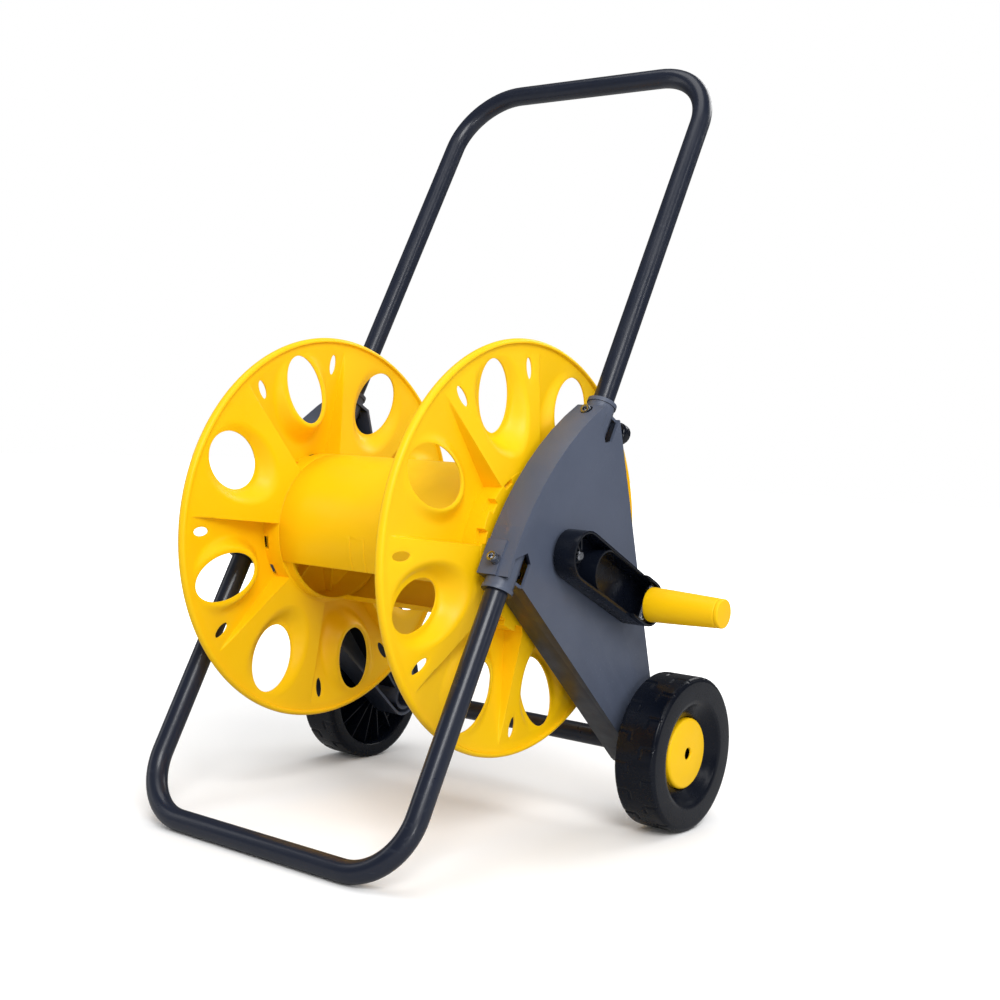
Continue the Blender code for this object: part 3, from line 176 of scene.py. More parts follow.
def makeFinish(name, f):
    mat = bpy.data.materials.new(name)
    mat.use_nodes = True
    tree = mat.node_tree
    shader = tree.nodes["Principled BSDF"]
    where = tree.nodes.new("ShaderNodeTexCoord")

    def noise(scale, detail, vector=None):
        node = tree.nodes.new("ShaderNodeTexNoise")
        node.inputs["Scale"].default_value = scale
        node.inputs["Detail"].default_value = detail
        tree.links.new(vector or where.outputs["Object"], node.inputs["Vector"])
        return node.outputs["Fac"]

    def ramp(source, low, high, first, last):
        node = tree.nodes.new("ShaderNodeValToRGB")
        node.color_ramp.elements[0].position, node.color_ramp.elements[1].position = low, high
        node.color_ramp.elements[0].color = (*first, 1)
        node.color_ramp.elements[1].color = (*last, 1)
        tree.links.new(source, node.inputs["Fac"])
        return node.outputs["Color"]

    patches = noise(f["patch"], 4)
    colour = ramp(patches, 0.35, 0.65, f["second"], f["colour"])
    # thin broken scuffs, from a noise stretched along one diagonal, where a coarser noise allows them
    stretch = tree.nodes.new("ShaderNodeMapping")
    stretch.inputs["Rotation"].default_value = (0.5, 0.7, 0.3)
    stretch.inputs["Scale"].default_value = (1, 14, 14)
    tree.links.new(where.outputs["Object"], stretch.inputs["Vector"])
    lines = noise(f["patch"] * 2.5, 6, stretch.outputs["Vector"])
    thin = ramp(lines, 0.60, 0.68, (0, 0, 0), (1, 1, 1))
    allowed = ramp(noise(f["patch"] * 1.7, 3), 0.52, 0.66, (0, 0, 0), (f["scuffs"],) * 3)
    both = tree.nodes.new("ShaderNodeMix")
    both.data_type, both.blend_type = "RGBA", "MULTIPLY"
    both.inputs[0].default_value = 1
    tree.links.new(thin, both.inputs[6])
    tree.links.new(allowed, both.inputs[7])
    mix = tree.nodes.new("ShaderNodeMix")
    mix.data_type = "RGBA"
    tree.links.new(both.outputs[2], mix.inputs[0])
    tree.links.new(colour, mix.inputs[6])
    mix.inputs[7].default_value = (*f["scuff"], 1)
    colour = mix.outputs[2]
    # painted shade: faces whose object-space normal points down are mixed towards the under colour
    if "under" in f:  # faces that look down are darker
        up = tree.nodes.new("ShaderNodeSeparateXYZ")
        tree.links.new(where.outputs["Normal"], up.inputs["Vector"])
        down = tree.nodes.new("ShaderNodeMapRange")
        down.inputs["From Min"].default_value, down.inputs["From Max"].default_value = -0.12, -0.42
        tree.links.new(up.outputs["Z"], down.inputs["Value"])
        shade = tree.nodes.new("ShaderNodeMix")
        shade.data_type = "RGBA"
        tree.links.new(down.outputs["Result"], shade.inputs[0])
        tree.links.new(colour, shade.inputs[6])
        shade.inputs[7].default_value = (*f["under"], 1)
        colour = shade.outputs[2]
    tree.links.new(colour, shader.inputs["Base Color"])
    smear = noise(f["patch"] * 5, 5)
    spread = tree.nodes.new("ShaderNodeMapRange")
    spread.inputs["From Min"].default_value, spread.inputs["From Max"].default_value = 0.3, 0.7
    spread.inputs["To Min"].default_value, spread.inputs["To Max"].default_value = f["rough"]
    tree.links.new(smear, spread.inputs["Value"])
    tree.links.new(spread.outputs["Result"], shader.inputs["Roughness"])
    bump = tree.nodes.new("ShaderNodeBump")
    bump.inputs["Strength"].default_value = f["bump"]
    bump.inputs["Distance"].default_value = 0.0004
    tree.links.new(noise(f["grain"], 3), bump.inputs["Height"])
    wave = tree.nodes.new("ShaderNodeBump")
    wave.inputs["Strength"].default_value = 0.06
    wave.inputs["Distance"].default_value = 0.0006
    tree.links.new(noise(f["patch"] * 3, 2), wave.inputs["Height"])
    tree.links.new(wave.outputs["Normal"], bump.inputs["Normal"])
    tree.links.new(bump.outputs["Normal"], shader.inputs["Normal"])
    shader.inputs["Metallic"].default_value = f.get("metal", 0)
    shader.inputs["Specular IOR Level"].default_value = f.get("shine", 0.5)
    shader.inputs["Coat Weight"].default_value = f.get("coat", 0)
    shader.inputs["Coat Roughness"].default_value = 0.12
    if "subsurface" in f:
        shader.inputs["Subsurface Weight"].default_value = f["subsurface"]
        shader.inputs["Subsurface Radius"].default_value = f["glow"]
        shader.inputs["Subsurface Scale"].default_value = 1.0
    return mat


materials = {name: makeFinish(name, f) for name, f in finishes.items()}

floorLook = dict(half=9, level=-0.0005, seen=0.97, lighting=0.44, rough=0.8, near=0.75, far=1.9)


def addFloor(f):
    # pale to the eye, darker to bounced light
    mesh = bpy.data.meshes.new("floor")
    corners = [(-1, -1), (1, -1), (1, 1), (-1, 1)]
    mesh.from_pydata([(x * f["half"], y * f["half"], f["level"]) for x, y in corners], [], [(0, 1, 2, 3)])
    floor = bpy.data.objects.new("floor", mesh)
    mat = bpy.data.materials.new("paleFloor")
    mat.use_nodes = True
    shader = mat.node_tree.nodes["Principled BSDF"]
    pale = rayMix(mat.node_tree, "Is Camera Ray", f["lighting"], f["seen"])
    mat.node_tree.links.new(pale, shader.inputs["Base Color"])
    shader.inputs["Roughness"].default_value = f["rough"]
    # away from the cart the floor fades into the white room
    where = mat.node_tree.nodes.new("ShaderNodeTexCoord")
    reach = mat.node_tree.nodes.new("ShaderNodeVectorMath")
    reach.operation = "LENGTH"
    mat.node_tree.links.new(where.outputs["Object"], reach.inputs[0])
    fade = mat.node_tree.nodes.new("ShaderNodeMapRange")
    fade.interpolation_type = "SMOOTHSTEP"
    fade.inputs["From Min"].default_value, fade.inputs["From Max"].default_value = f["near"], f["far"]
    mat.node_tree.links.new(reach.outputs["Value"], fade.inputs["Value"])
    shader.inputs["Emission Color"].default_value = (1, 1, 1, 1)
    glow = rayMix(mat.node_tree, "Is Camera Ray", 0.0, 1.0)
    strength = mat.node_tree.nodes.new("ShaderNodeMath")
    strength.operation = "MULTIPLY"
    mat.node_tree.links.new(glow, strength.inputs[0])
    mat.node_tree.links.new(fade.outputs["Result"], strength.inputs[1])
    mat.node_tree.links.new(strength.outputs["Value"], shader.inputs["Emission Strength"])
    mesh.materials.append(mat)
    bpy.context.scene.collection.objects.link(floor)


addFloor(floorLook)
print("stage: camera, lights, floor and finishes made")


def makePiece(name, points, faces, body, slotName, crease=32):
    mesh = bpy.data.meshes.new(name)
    mesh.from_pydata(np.asarray(points, float).tolist(), [], faces)
    bm = bmesh.new()
    bm.from_mesh(mesh)
    bmesh.ops.remove_doubles(bm, verts=bm.verts, dist=1e-6)
    bmesh.ops.dissolve_degenerate(bm, dist=1e-7, edges=bm.edges)
    bmesh.ops.recalc_face_normals(bm, faces=bm.faces)
    bm.to_mesh(mesh)
    bm.free()
    mesh.shade_smooth()
    mesh.set_sharp_from_angle(angle=math.radians(crease))
    mesh.materials.append(materials[slotName])
    piece = bpy.data.objects.new(name, mesh)
    bpy.context.scene.collection.objects.link(piece)
    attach(piece, body)
    return piece


def gridFaces(rows, columns, closeRows, closeColumns, start=0):
    # quads of a rows x columns grid; closing joins the last line to the first
    r = np.arange(rows if closeRows else rows - 1)
    c = np.arange(columns if closeColumns else columns - 1)
    a, b = np.meshgrid(r, c, indexing="ij")
    nextA, nextB = (a + 1) % rows, (b + 1) % columns
    quads = np.stack([a * columns + b, a * columns + nextB, nextA * columns + nextB, nextA * columns + b], -1)
    return (quads.reshape(-1, 4) + start).tolist()


def roundCorners(outline, radius, steps=3, closed=True):
    # each corner becomes a short arc-like curve between points a radius away on its two sides
    pts = np.asarray(outline, float)
    count = len(pts)
    before, after = np.roll(pts, 1, 0), np.roll(pts, -1, 0)
    inLen = np.linalg.norm(pts - before, axis=1)
    outLen = np.linalg.norm(after - pts, axis=1)
    cut = np.minimum(radius, 0.45 * np.minimum(inLen, outLen))[:, None]
    start = pts + (before - pts) / inLen[:, None] * cut
    end = pts + (after - pts) / outLen[:, None] * cut
    t = np.linspace(0, 1, steps + 1)[None, :, None]
    curve = start[:, None] * (1 - t) ** 2 + 2 * pts[:, None] * t * (1 - t) + end[:, None] * t ** 2
    if not closed:
        curve[0], curve[-1] = pts[0], pts[-1]
    return curve.reshape(count * (steps + 1), -1)


def turnedPoints(profile, angles, centre, side=1):
    # a profile of (x, radius) turned about the X line through centre
    x, radius = np.asarray(profile, float).T
    y = centre[0] + radius[:, None] * np.cos(angles)
    z = centre[1] + radius[:, None] * np.sin(angles)
    return np.stack([np.broadcast_to(side * x[:, None], y.shape), y, z], -1).reshape(-1, 3)


def turnedPiece(name, profile, count, centre, body, slotName, side=1, closed=True, crease=32):
    angles = np.arange(count) * tau / count
    points = turnedPoints(profile, angles, centre, side)
    faces = gridFaces(len(profile), count, closed, True)
    return makePiece(name, points, faces, body, slotName, crease)


def ribFan(name, outline, angles, half, centre, side, body, slotName):
    # flat ribs that stand on radii about the X line through centre; outline is (x, radius); all are one mesh
    outline = np.asarray(outline, float)
    points, faces = [], []
    n = len(outline)
    for k, a in enumerate(angles):
        out, cross = np.array([0, math.cos(a), math.sin(a)]), np.array([0, -math.sin(a), math.cos(a)])
        for turn in (-1, 1):
            ring = outline[:, 1:] * out + cross * half * turn
            ring[:, 0] = side * outline[:, 0]
            points.append(ring + np.array([0, *centre]))
        start = 2 * k * n
        faces += gridFaces(2, n, False, True, start)
        faces += [list(range(start, start + n)), list(range(start + n, start + 2 * n))]
    return makePiece(name, np.concatenate(points), faces, body, slotName, 40)


def smooth(t):
    t = np.clip(t, 0, 1)
    return t * t * (3 - 2 * t)


def bevelledCopy(node, body, slotName, width, segments=3, angle=28):
    # the CAD solid's own shape with its corners rounded
    source = nodes[node]
    bm = bmesh.new()
    bm.from_mesh(source.data)
    bmesh.ops.remove_doubles(bm, verts=bm.verts, dist=2e-6)
    bmesh.ops.dissolve_limit(bm, angle_limit=math.radians(0.6), verts=bm.verts, edges=bm.edges)
    mesh = bpy.data.meshes.new(node + "_round")
    bm.to_mesh(mesh)
    bm.free()
    piece = bpy.data.objects.new(node + "_round", mesh)
    bpy.context.scene.collection.objects.link(piece)
    modifier = piece.modifiers.new("round", "BEVEL")
    modifier.width = width
    modifier.segments = segments
    modifier.limit_method = "ANGLE"
    modifier.angle_limit = math.radians(angle)
    modifier.use_clamp_overlap = True
    modifier.harden_normals = True
    mesh.shade_smooth()
    mesh.materials.clear()
    mesh.materials.append(materials[slotName])
    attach(piece, body)
    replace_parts(piece, node)
    return piece


# frame tubes: circles carried along a line
tubes = dict(radius=0.0105, wall=0.0012, sides=40, bendSteps=20, legX=0.166)
handle = dict(bar=(0.4677, 0.7895), lean=27.65, bend=0.070, leg=-0.482)
foot = dict(bar=(0.0, 0.0105), lean=26.8, bend=0.060, leg=0.327)


def bentTube(name, t, shape, body):
    # a circle carried along leg, quarter bend, bar, quarter bend and leg, all in one leaning plane
    lean = math.radians(shape["lean"])
    up = np.array([0, math.sin(lean), math.cos(lean)])
    across = np.array([1.0, 0, 0])
    normal = np.cross(across, up)
    bar = np.array([0, *shape["bar"]])
    sign = math.copysign(1, shape["leg"])
    s = np.linspace(0, math.pi / 2, t["bendSteps"])[:, None]
    bend = shape["bend"]
    legPart = np.linspace(0, 1, 14)[:, None] * (bend * sign - shape["leg"]) + shape["leg"]
    legPoints = bar + across * t["legX"] + up * legPart
    corner = bar + across * (t["legX"] - bend + bend * np.cos(s)) + up * sign * (bend - bend * np.sin(s))
    half = np.concatenate([legPoints[:-1], corner])
    mirrored = half[::-1] * np.array([-1, 1, 1])
    path = np.concatenate([half, mirrored])
    tangent = np.gradient(path, axis=0)
    tangent /= np.linalg.norm(tangent, axis=1)[:, None]
    sideways = np.cross(tangent, normal)
    a = np.arange(t["sides"]) * tau / t["sides"]
    ring = np.cos(a)[None, :, None] * normal + np.sin(a)[None, :, None] * sideways[:, None]
    outer = path[:, None] + ring * t["radius"]
    inner = (path[:, None] + ring * (t["radius"] - t["wall"]))[::-1]
    points = np.concatenate([outer, inner])
    faces = gridFaces(len(points), t["sides"], True, True)
    return makePiece(name, points.reshape(-1, 3), faces, body, "tube_paint", 50)


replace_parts(bentTube("handleTube", tubes, handle, "frame"), "handle_tube")
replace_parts(bentTube("footTube", tubes, foot, "frame"), "foot_tube")
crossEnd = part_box("cross_tube")[1].x
tubeIn = tubes["radius"] - tubes["wall"]
crossProfile = roundCorners([
    (-crossEnd, tubes["radius"]), (crossEnd, tubes["radius"]), (crossEnd, tubeIn), (-crossEnd, tubeIn),
], 0.0004)
crossTube = turnedPiece("crossTube", crossProfile, 40, (wheelY, wheelZ), "frame", "tube_paint")
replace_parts(crossTube, "cross_tube")
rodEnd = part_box("axle_rod")[1].x
rodRadius = 0.005
rodOutline = [(-rodEnd, 0), (-rodEnd, rodRadius), (rodEnd, rodRadius), (rodEnd, 0)]
rodProfile = roundCorners(rodOutline, 0.0008, closed=False)
axleRod = turnedPiece("axleRod", rodProfile, 32, (wheelY, wheelZ), "frame", "zinc_steel", closed=False)
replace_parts(axleRod, "axle_rod")
print("frame tubes made")

# reel flanges: height fields over rings and angles
flangeShape = dict(
    radius=0.2003, rimX=0.127, sheet=0.0026, hub=0.0785, crease=0.188, inward=0.0070, outward=0.0145,
    firstFold=40.0, foldWall=0.55, foldSoft=0.55, holeCircle=0.151, holeHalf=0.0355,
    holeWide=(0.0270, 0.0228), slotCircle=0.1725, slotHalf=(0.0107, 0.0045), slotSpread=17.5, snap=0.0003,
    dishStart=0.1865, dishFall=0.071, dishOut=0.0070, dishIn=0.0088, flatHalf=(0.0375, 0.0270),
    dishHub=0.060, dishRim=0.045, dishSide=0.040, beadHalf=0.0045, beadStart=0.1950, beadRise=0.0012,
    rimRound=0.0034, rolled=0.00045, rollReach=0.0011, columnsBetween=62, rows=84,
)


def flangeAngles(f):
    # angles in degrees: even between the folds, crowded on the two sides of each fold's wall
    soft = f["foldSoft"]
    near = np.array([0, 0.14, 0.32, 0.5, 0.68, 0.86, 1]) * soft - soft / 2
    fold = np.concatenate([-f["foldWall"] + near, f["foldWall"] + near])
    between = np.linspace(fold[-1], 45 + fold[0], f["columnsBetween"] + 2)[1:-1]
    sector = np.concatenate([fold, between])
    return (f["firstFold"] + np.arange(8)[:, None] * 45 + sector).reshape(-1)


def foldShare(f, degrees, q):
    # 1 on the sectors that lean outwards, 0 on the others; q 1 is the outer face of the sheet, -1 the inner
    phase = np.mod(degrees - f["firstFold"] + 5, 90) - 5
    wall, soft = f["foldWall"] * q, f["foldSoft"]
    rise = smooth((phase - (45 - wall)) / soft + 0.5)
    fall = smooth((phase - wall) / soft + 0.5)
    last = smooth((phase - (90 + wall)) / soft + 0.5)
    return 1 - fall + rise - last


def ovals(f):
    # middle radius, angle, half length along the radius and half width of each hole and slot
    rows = []
    for k in range(8):
        a = math.radians(f["firstFold"] + 22.5 + 45 * k)
        rows.append((f["holeCircle"], a, f["holeHalf"], f["holeWide"][k % 2]))
        if k % 2:
            spread = math.radians(f["slotSpread"])
            rows += [(f["slotCircle"], a + spread * turn, *f["slotHalf"]) for turn in (-1, 1)]
    return rows


def openedGrid(f, y, z):
    # corners inside an oval are scaled out to its edge; gap is each corner's rough distance from the edges
    gap = np.full(y.shape, 9.0)
    newY, newZ = y, z
    for radius, a, half, wide in ovals(f):
        c, s = math.cos(a), math.sin(a)
        u, v = y * c + z * s - radius, z * c - y * s
        e = np.maximum(np.hypot(u / half, v / wide), 1e-6)
        hit = e < 1 + f["snap"] / wide
        newY = np.where(hit, (radius + u / e) * c - v / e * s, newY)
        newZ = np.where(hit, (radius + u / e) * s + v / e * c, newZ)
        gap = np.minimum(gap, np.where(hit, 0, (e - 1) * wide))
    return newY, newZ, gap


def flangeHeight(f, y, z, q, gap):
    # the sheet's face, measured along X from the rim plane: the sector's lean, blended round each hole into
    # a dish that slopes the other way, half the sheet's thickness, a bead at the rim, rounded opening edges
    r = np.hypot(y, z)
    degrees = np.degrees(np.arctan2(z, y))
    share = foldShare(f, degrees, q)
    lean = -f["inward"] + (f["inward"] + f["outward"]) * share
    ramp = np.clip((f["crease"] - r) / (f["crease"] - f["hub"]), 0, 1)
    middle = f["firstFold"] + 22.5 + 45 * np.round((degrees - f["firstFold"] - 22.5) / 45)
    offset = np.radians(degrees - middle)
    u = r * np.cos(offset) - f["holeCircle"]
    v = r * np.sin(offset)
    flat = np.hypot(u / f["flatHalf"][0], v / f["flatHalf"][1])
    wide = np.hypot(u / np.where(u < 0, f["dishHub"], f["dishRim"]), v / f["dishSide"])
    dish = 1 - smooth((flat - 1) / np.maximum(flat - wide, 1e-6))
    fall = np.clip((f["dishStart"] - r) / f["dishFall"], 0, 1.3)
    bottom = (f["dishOut"] - (f["dishOut"] + f["dishIn"]) * share) * fall
    half = np.full(r.shape, f["sheet"] / 2)
    bead = smooth((r - f["beadStart"]) / f["beadRise"])
    half = half + bead * (f["beadHalf"] - half)
    endRound = np.clip((r - (f["radius"] - f["rimRound"])) / f["rimRound"], 0, 1)
    half = half * np.sqrt(np.maximum(1 - endRound ** 2, 0))
    rolled = f["rolled"] * np.exp(-(gap / f["rollReach"]) ** 2)
    return dish * bottom + (1 - dish) * lean * ramp + q * (half - rolled)


def flangePiece(name, f, side, body):
    degrees = flangeAngles(f)
    inner = np.linspace(f["hub"] - 0.0008, f["beadStart"] - 0.0006, f["rows"])
    bead = f["beadStart"] + f["beadRise"] * np.array([0, 1 / 3, 2 / 3, 1])
    end = f["radius"] - f["rimRound"] * (1 - np.sin(np.linspace(0, math.pi / 2, 7)))
    radii = np.concatenate([inner, bead, end])
    radii = np.unique(np.round(radii, 7))
    a = np.radians(degrees)
    y, z = radii[:, None] * np.cos(a), radii[:, None] * np.sin(a)
    y, z, gap = openedGrid(f, y, z)
    quads = np.array(gridFaces(len(radii), len(a), False, True))
    keep = (gap.reshape(-1) > 0)[quads].any(1)
    faceOut = flangeHeight(f, y, z, 1, gap)
    faceIn = flangeHeight(f, y, z, -1, gap)
    count = y.size
    quads = quads[keep]
    used = np.zeros(count, bool)
    used[quads.reshape(-1)] = True
    index = np.cumsum(used) - 1
    quads = index[quads]
    total = int(used.sum())
    flat = [q.reshape(-1)[used] for q in (y, z, faceOut, faceIn)]
    top = np.stack([side * (f["rimX"] + flat[2]), reelY + flat[0], reelZ + flat[1]], -1)
    low = np.stack([side * (f["rimX"] + flat[3]), reelY + flat[0], reelZ + flat[1]], -1)
    # walls stand on every edge that only one quad uses
    ends = np.concatenate([quads[:, [0, 1]], quads[:, [1, 2]], quads[:, [2, 3]], quads[:, [3, 0]]])
    keys = np.sort(ends, 1) @ np.array([total, 1])
    first, inverse, times = np.unique(keys, return_inverse=True, return_counts=True)
    border = ends[times[inverse.reshape(-1)] == 1]
    walls = np.stack([border[:, 1], border[:, 0], border[:, 0] + total, border[:, 1] + total], -1)
    faces = np.concatenate([quads, quads[:, ::-1] + total, walls]).tolist()
    return makePiece(name, np.concatenate([top, low]), faces, body, "yellow_plastic", 55)


hub = dict(
    face=0.1432, plate=0.0030, wall=0.0030, drum=0.0785, ringEnd=0.1184, spigotEnd=0.1081, spigot=0.0756,
    bossRadius=0.0165, bossEnd=0.1122, bore=0.0106, screw=0.0025, screwDepth=0.0065, ribs=8, firstRib=58.75,
    ribHalf=0.0012, pockets=16, firstPocket=11.0, pocketHalf=4.6, pocketSoft=0.8, pocketDepth=0.0070,
    pocketFloor=0.0058, pocketLength=0.0085,
)


def hubPiece(name, h, side, body):
    # a turned cup: face plate, ring wall, spigot inside the drum's end, and the centre boss with its bore, or
    # on the crank's side its screw hole; small pockets are sunk into the ring's outer corner all round
    plateIn = h["face"] - h["plate"]
    wallIn = h["spigot"] - h["wall"]
    screw = h["screw"] if side > 0 else h["bore"]
    outline = [
        (h["face"], h["bore"]), (h["face"], h["drum"] - h["pocketDepth"]), (h["face"], h["drum"]),
        (h["face"] - h["pocketLength"], h["drum"]), (h["face"] - h["pocketLength"] - 0.0008, h["drum"]),
        (h["ringEnd"], h["drum"]), (h["ringEnd"], h["spigot"]),
        (h["spigotEnd"], h["spigot"]), (h["spigotEnd"], wallIn), (plateIn, wallIn - 0.0015),
        (plateIn, h["bossRadius"] + 0.001), (h["bossEnd"], h["bossRadius"]), (h["bossEnd"], screw),
        (h["bossEnd"] + h["screwDepth"], screw), (h["bossEnd"] + h["screwDepth"], h["bore"]),
    ]
    if side < 0:
        outline = outline[:-2]
    profile = roundCorners(outline, 0.0004)
    # columns crowd at the two sides of each pocket
    step = 360 / h["pockets"]
    soft = np.array([-1, -0.5, 0, 0.5, 1]) * h["pocketSoft"] / 2
    middle = np.linspace(-0.7, 0.7, 5) * h["pocketHalf"]
    rest = np.linspace(h["pocketHalf"] + 1, step - h["pocketHalf"] - 1, 8)
    sector = np.concatenate([soft - h["pocketHalf"], middle, soft + h["pocketHalf"], rest])
    degrees = (h["firstPocket"] + np.arange(h["pockets"])[:, None] * step + sector).reshape(-1)
    away = np.abs(np.mod(degrees - h["firstPocket"] + step / 2, step) - step / 2)
    sunk = 1 - smooth((away - h["pocketHalf"]) / h["pocketSoft"] + 0.5)
    x, r = np.repeat(profile[:, :1], len(degrees), 1), np.repeat(profile[:, 1:], len(degrees), 1)
    corner = (r > h["drum"] - 0.0010) & (x > h["face"] - h["pocketLength"] - 0.0003)
    r = r - corner * sunk * h["pocketFloor"]
    a = np.radians(degrees)
    points = np.stack([side * x, reelY + r * np.cos(a), reelZ + r * np.sin(a)], -1).reshape(-1, 3)
    return makePiece(name, points, gridFaces(len(profile), len(a), True, True), body, "yellow_plastic")


def ribPieces(name, h, side, body):
    # thin upright ribs from the boss to the ring, low at the ring
    plateIn = h["face"] - h["plate"] * 0.5
    outline = np.array([
        (plateIn, h["bossRadius"] - 0.001), (h["bossEnd"] + 0.004, h["bossRadius"] - 0.001),
        (h["face"] - h["plate"] - 0.006, h["spigot"] - 0.001), (plateIn, h["spigot"] - 0.001),
    ])
    outline = roundCorners(outline, 0.0006, 2)
    angles = math.radians(h["firstRib"]) + np.arange(h["ribs"]) * tau / h["ribs"]
    return ribFan(name, outline, angles, h["ribHalf"], (reelY, reelZ), side, body, "yellow_plastic")


for word, side in (("Right", 1), ("Left", -1)):
    piece = flangePiece("flange" + word, flangeShape, side, "reel")
    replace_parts(piece, "flange_" + word.lower())
    hubPiece("flangeHub" + word, hub, side, "reel")
    ribPieces("flangeRibs" + word, hub, side, "reel")
print("flanges made")

# drum shells: arcs carried along X
drum = dict(
    radius=0.0785, wall=0.0026, half=0.1181, endRound=0.0006, lip=0.0029, lipWidth=1.8,
    tabLines=(-0.0195, -0.0010), tabLength=26, lineHalf=0.0006, lineDepth=0.0006,
)
shellSpans = dict(drum_shell_front=(55.0, 205.0), drum_shell_rear=(282.0, 385.0))


def drumShell(node, d, span, body):
    # an arc from edge to edge, with a lip turned in along each long edge, carried along X; the front shell
    # has two scored lines
    name = node.replace("_s", "S").replace("_f", "F").replace("_r", "R")
    degrees = np.linspace(*span, 121)
    near = np.array([0.0, 0.25, 0.6])
    edges = [span[0] + near, span[1] - near, span[0] + 2 + near, span[1] - 2 + near]
    degrees = np.unique(np.concatenate([degrees, *edges]))
    fromEdge = np.minimum(degrees - span[0], span[1] - degrees)
    rounding = d["endRound"] * (1 - np.sqrt(np.clip(fromEdge / 0.6, 0, 1)))
    outerR = d["radius"] - rounding
    lip = d["lip"] * (1 - smooth((fromEdge - d["lipWidth"]) / 0.5))
    innerR = d["radius"] - d["wall"] - lip
    a = np.radians(np.concatenate([degrees, degrees[::-1]]))
    r = np.concatenate([outerR, innerR[::-1]])
    lines = np.add.outer(d["tabLines"], np.array([-1.6, -0.8, 0, 0.8, 1.6]) * d["lineHalf"]).reshape(-1)
    flat = d["half"] - d["endRound"]
    xs = np.sort(np.concatenate([[-d["half"]], np.linspace(-flat, flat, 9), [d["half"]], lines]))
    shrink = np.where(np.abs(np.abs(xs) - d["half"]) < 1e-9, 0.0004, 0)
    middle = d["radius"] - d["wall"] / 2
    radial = r[None, :] - np.sign(r - middle)[None, :] * shrink[:, None]
    # the lines reach the shell's lower edge
    onLine = np.min(np.abs(np.subtract.outer(xs, d["tabLines"])), 1) < d["lineHalf"] * 1.2
    reach = smooth((d["tabLength"] - (span[1] - np.degrees(a))) / 1.5) if node.endswith("front") else 0 * a
    radial = radial - d["lineDepth"] * onLine[:, None] * reach[None, :] * (r > middle)[None, :]
    points = np.stack([
        np.broadcast_to(xs[:, None], radial.shape), reelY + radial * np.cos(a), reelZ + radial * np.sin(a)
    ], -1)
    faces = gridFaces(len(xs), len(a), False, True)
    n = len(a)
    half = n // 2
    for row in (0, len(xs) - 1):
        i = np.arange(half - 1)
        cap = np.stack([i, i + 1, n - 2 - i, n - 1 - i], -1) + row * n
        faces += cap.tolist()
    piece = makePiece(name, points.reshape(-1, 3), faces, body, "yellow_plastic", 40)
    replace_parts(piece, node)
    return piece


for node, span in shellSpans.items():
    drumShell(node, drum, span, "reel")
print("drum made")

# wheels: turned outlines with treads and dashes sunk into them
wheel = dict(
    radius=0.0786, inner=0.1921, outer=0.2382, hubIn=0.1877, hubOut=0.2203, hubRadius=0.0140, bore=0.0053,
    webOut=0.2174, webIn=0.2134, cap=0.0368, dishX=0.2264, dishRadius=0.0500, columns=480, blocks=16,
    groove=0.0009, rowStep=0.0011, hookMiddle=0.0068, hookHalf=0.0009, hookLength=0.34,
    marks=14, markHeight=0.0009, longMark=(0.0672, 0.0728), shortMark=(0.0705, 0.0718), markHalf=0.0006,
    ribs=16, firstRib=0.2, ribHalf=0.0007,
)


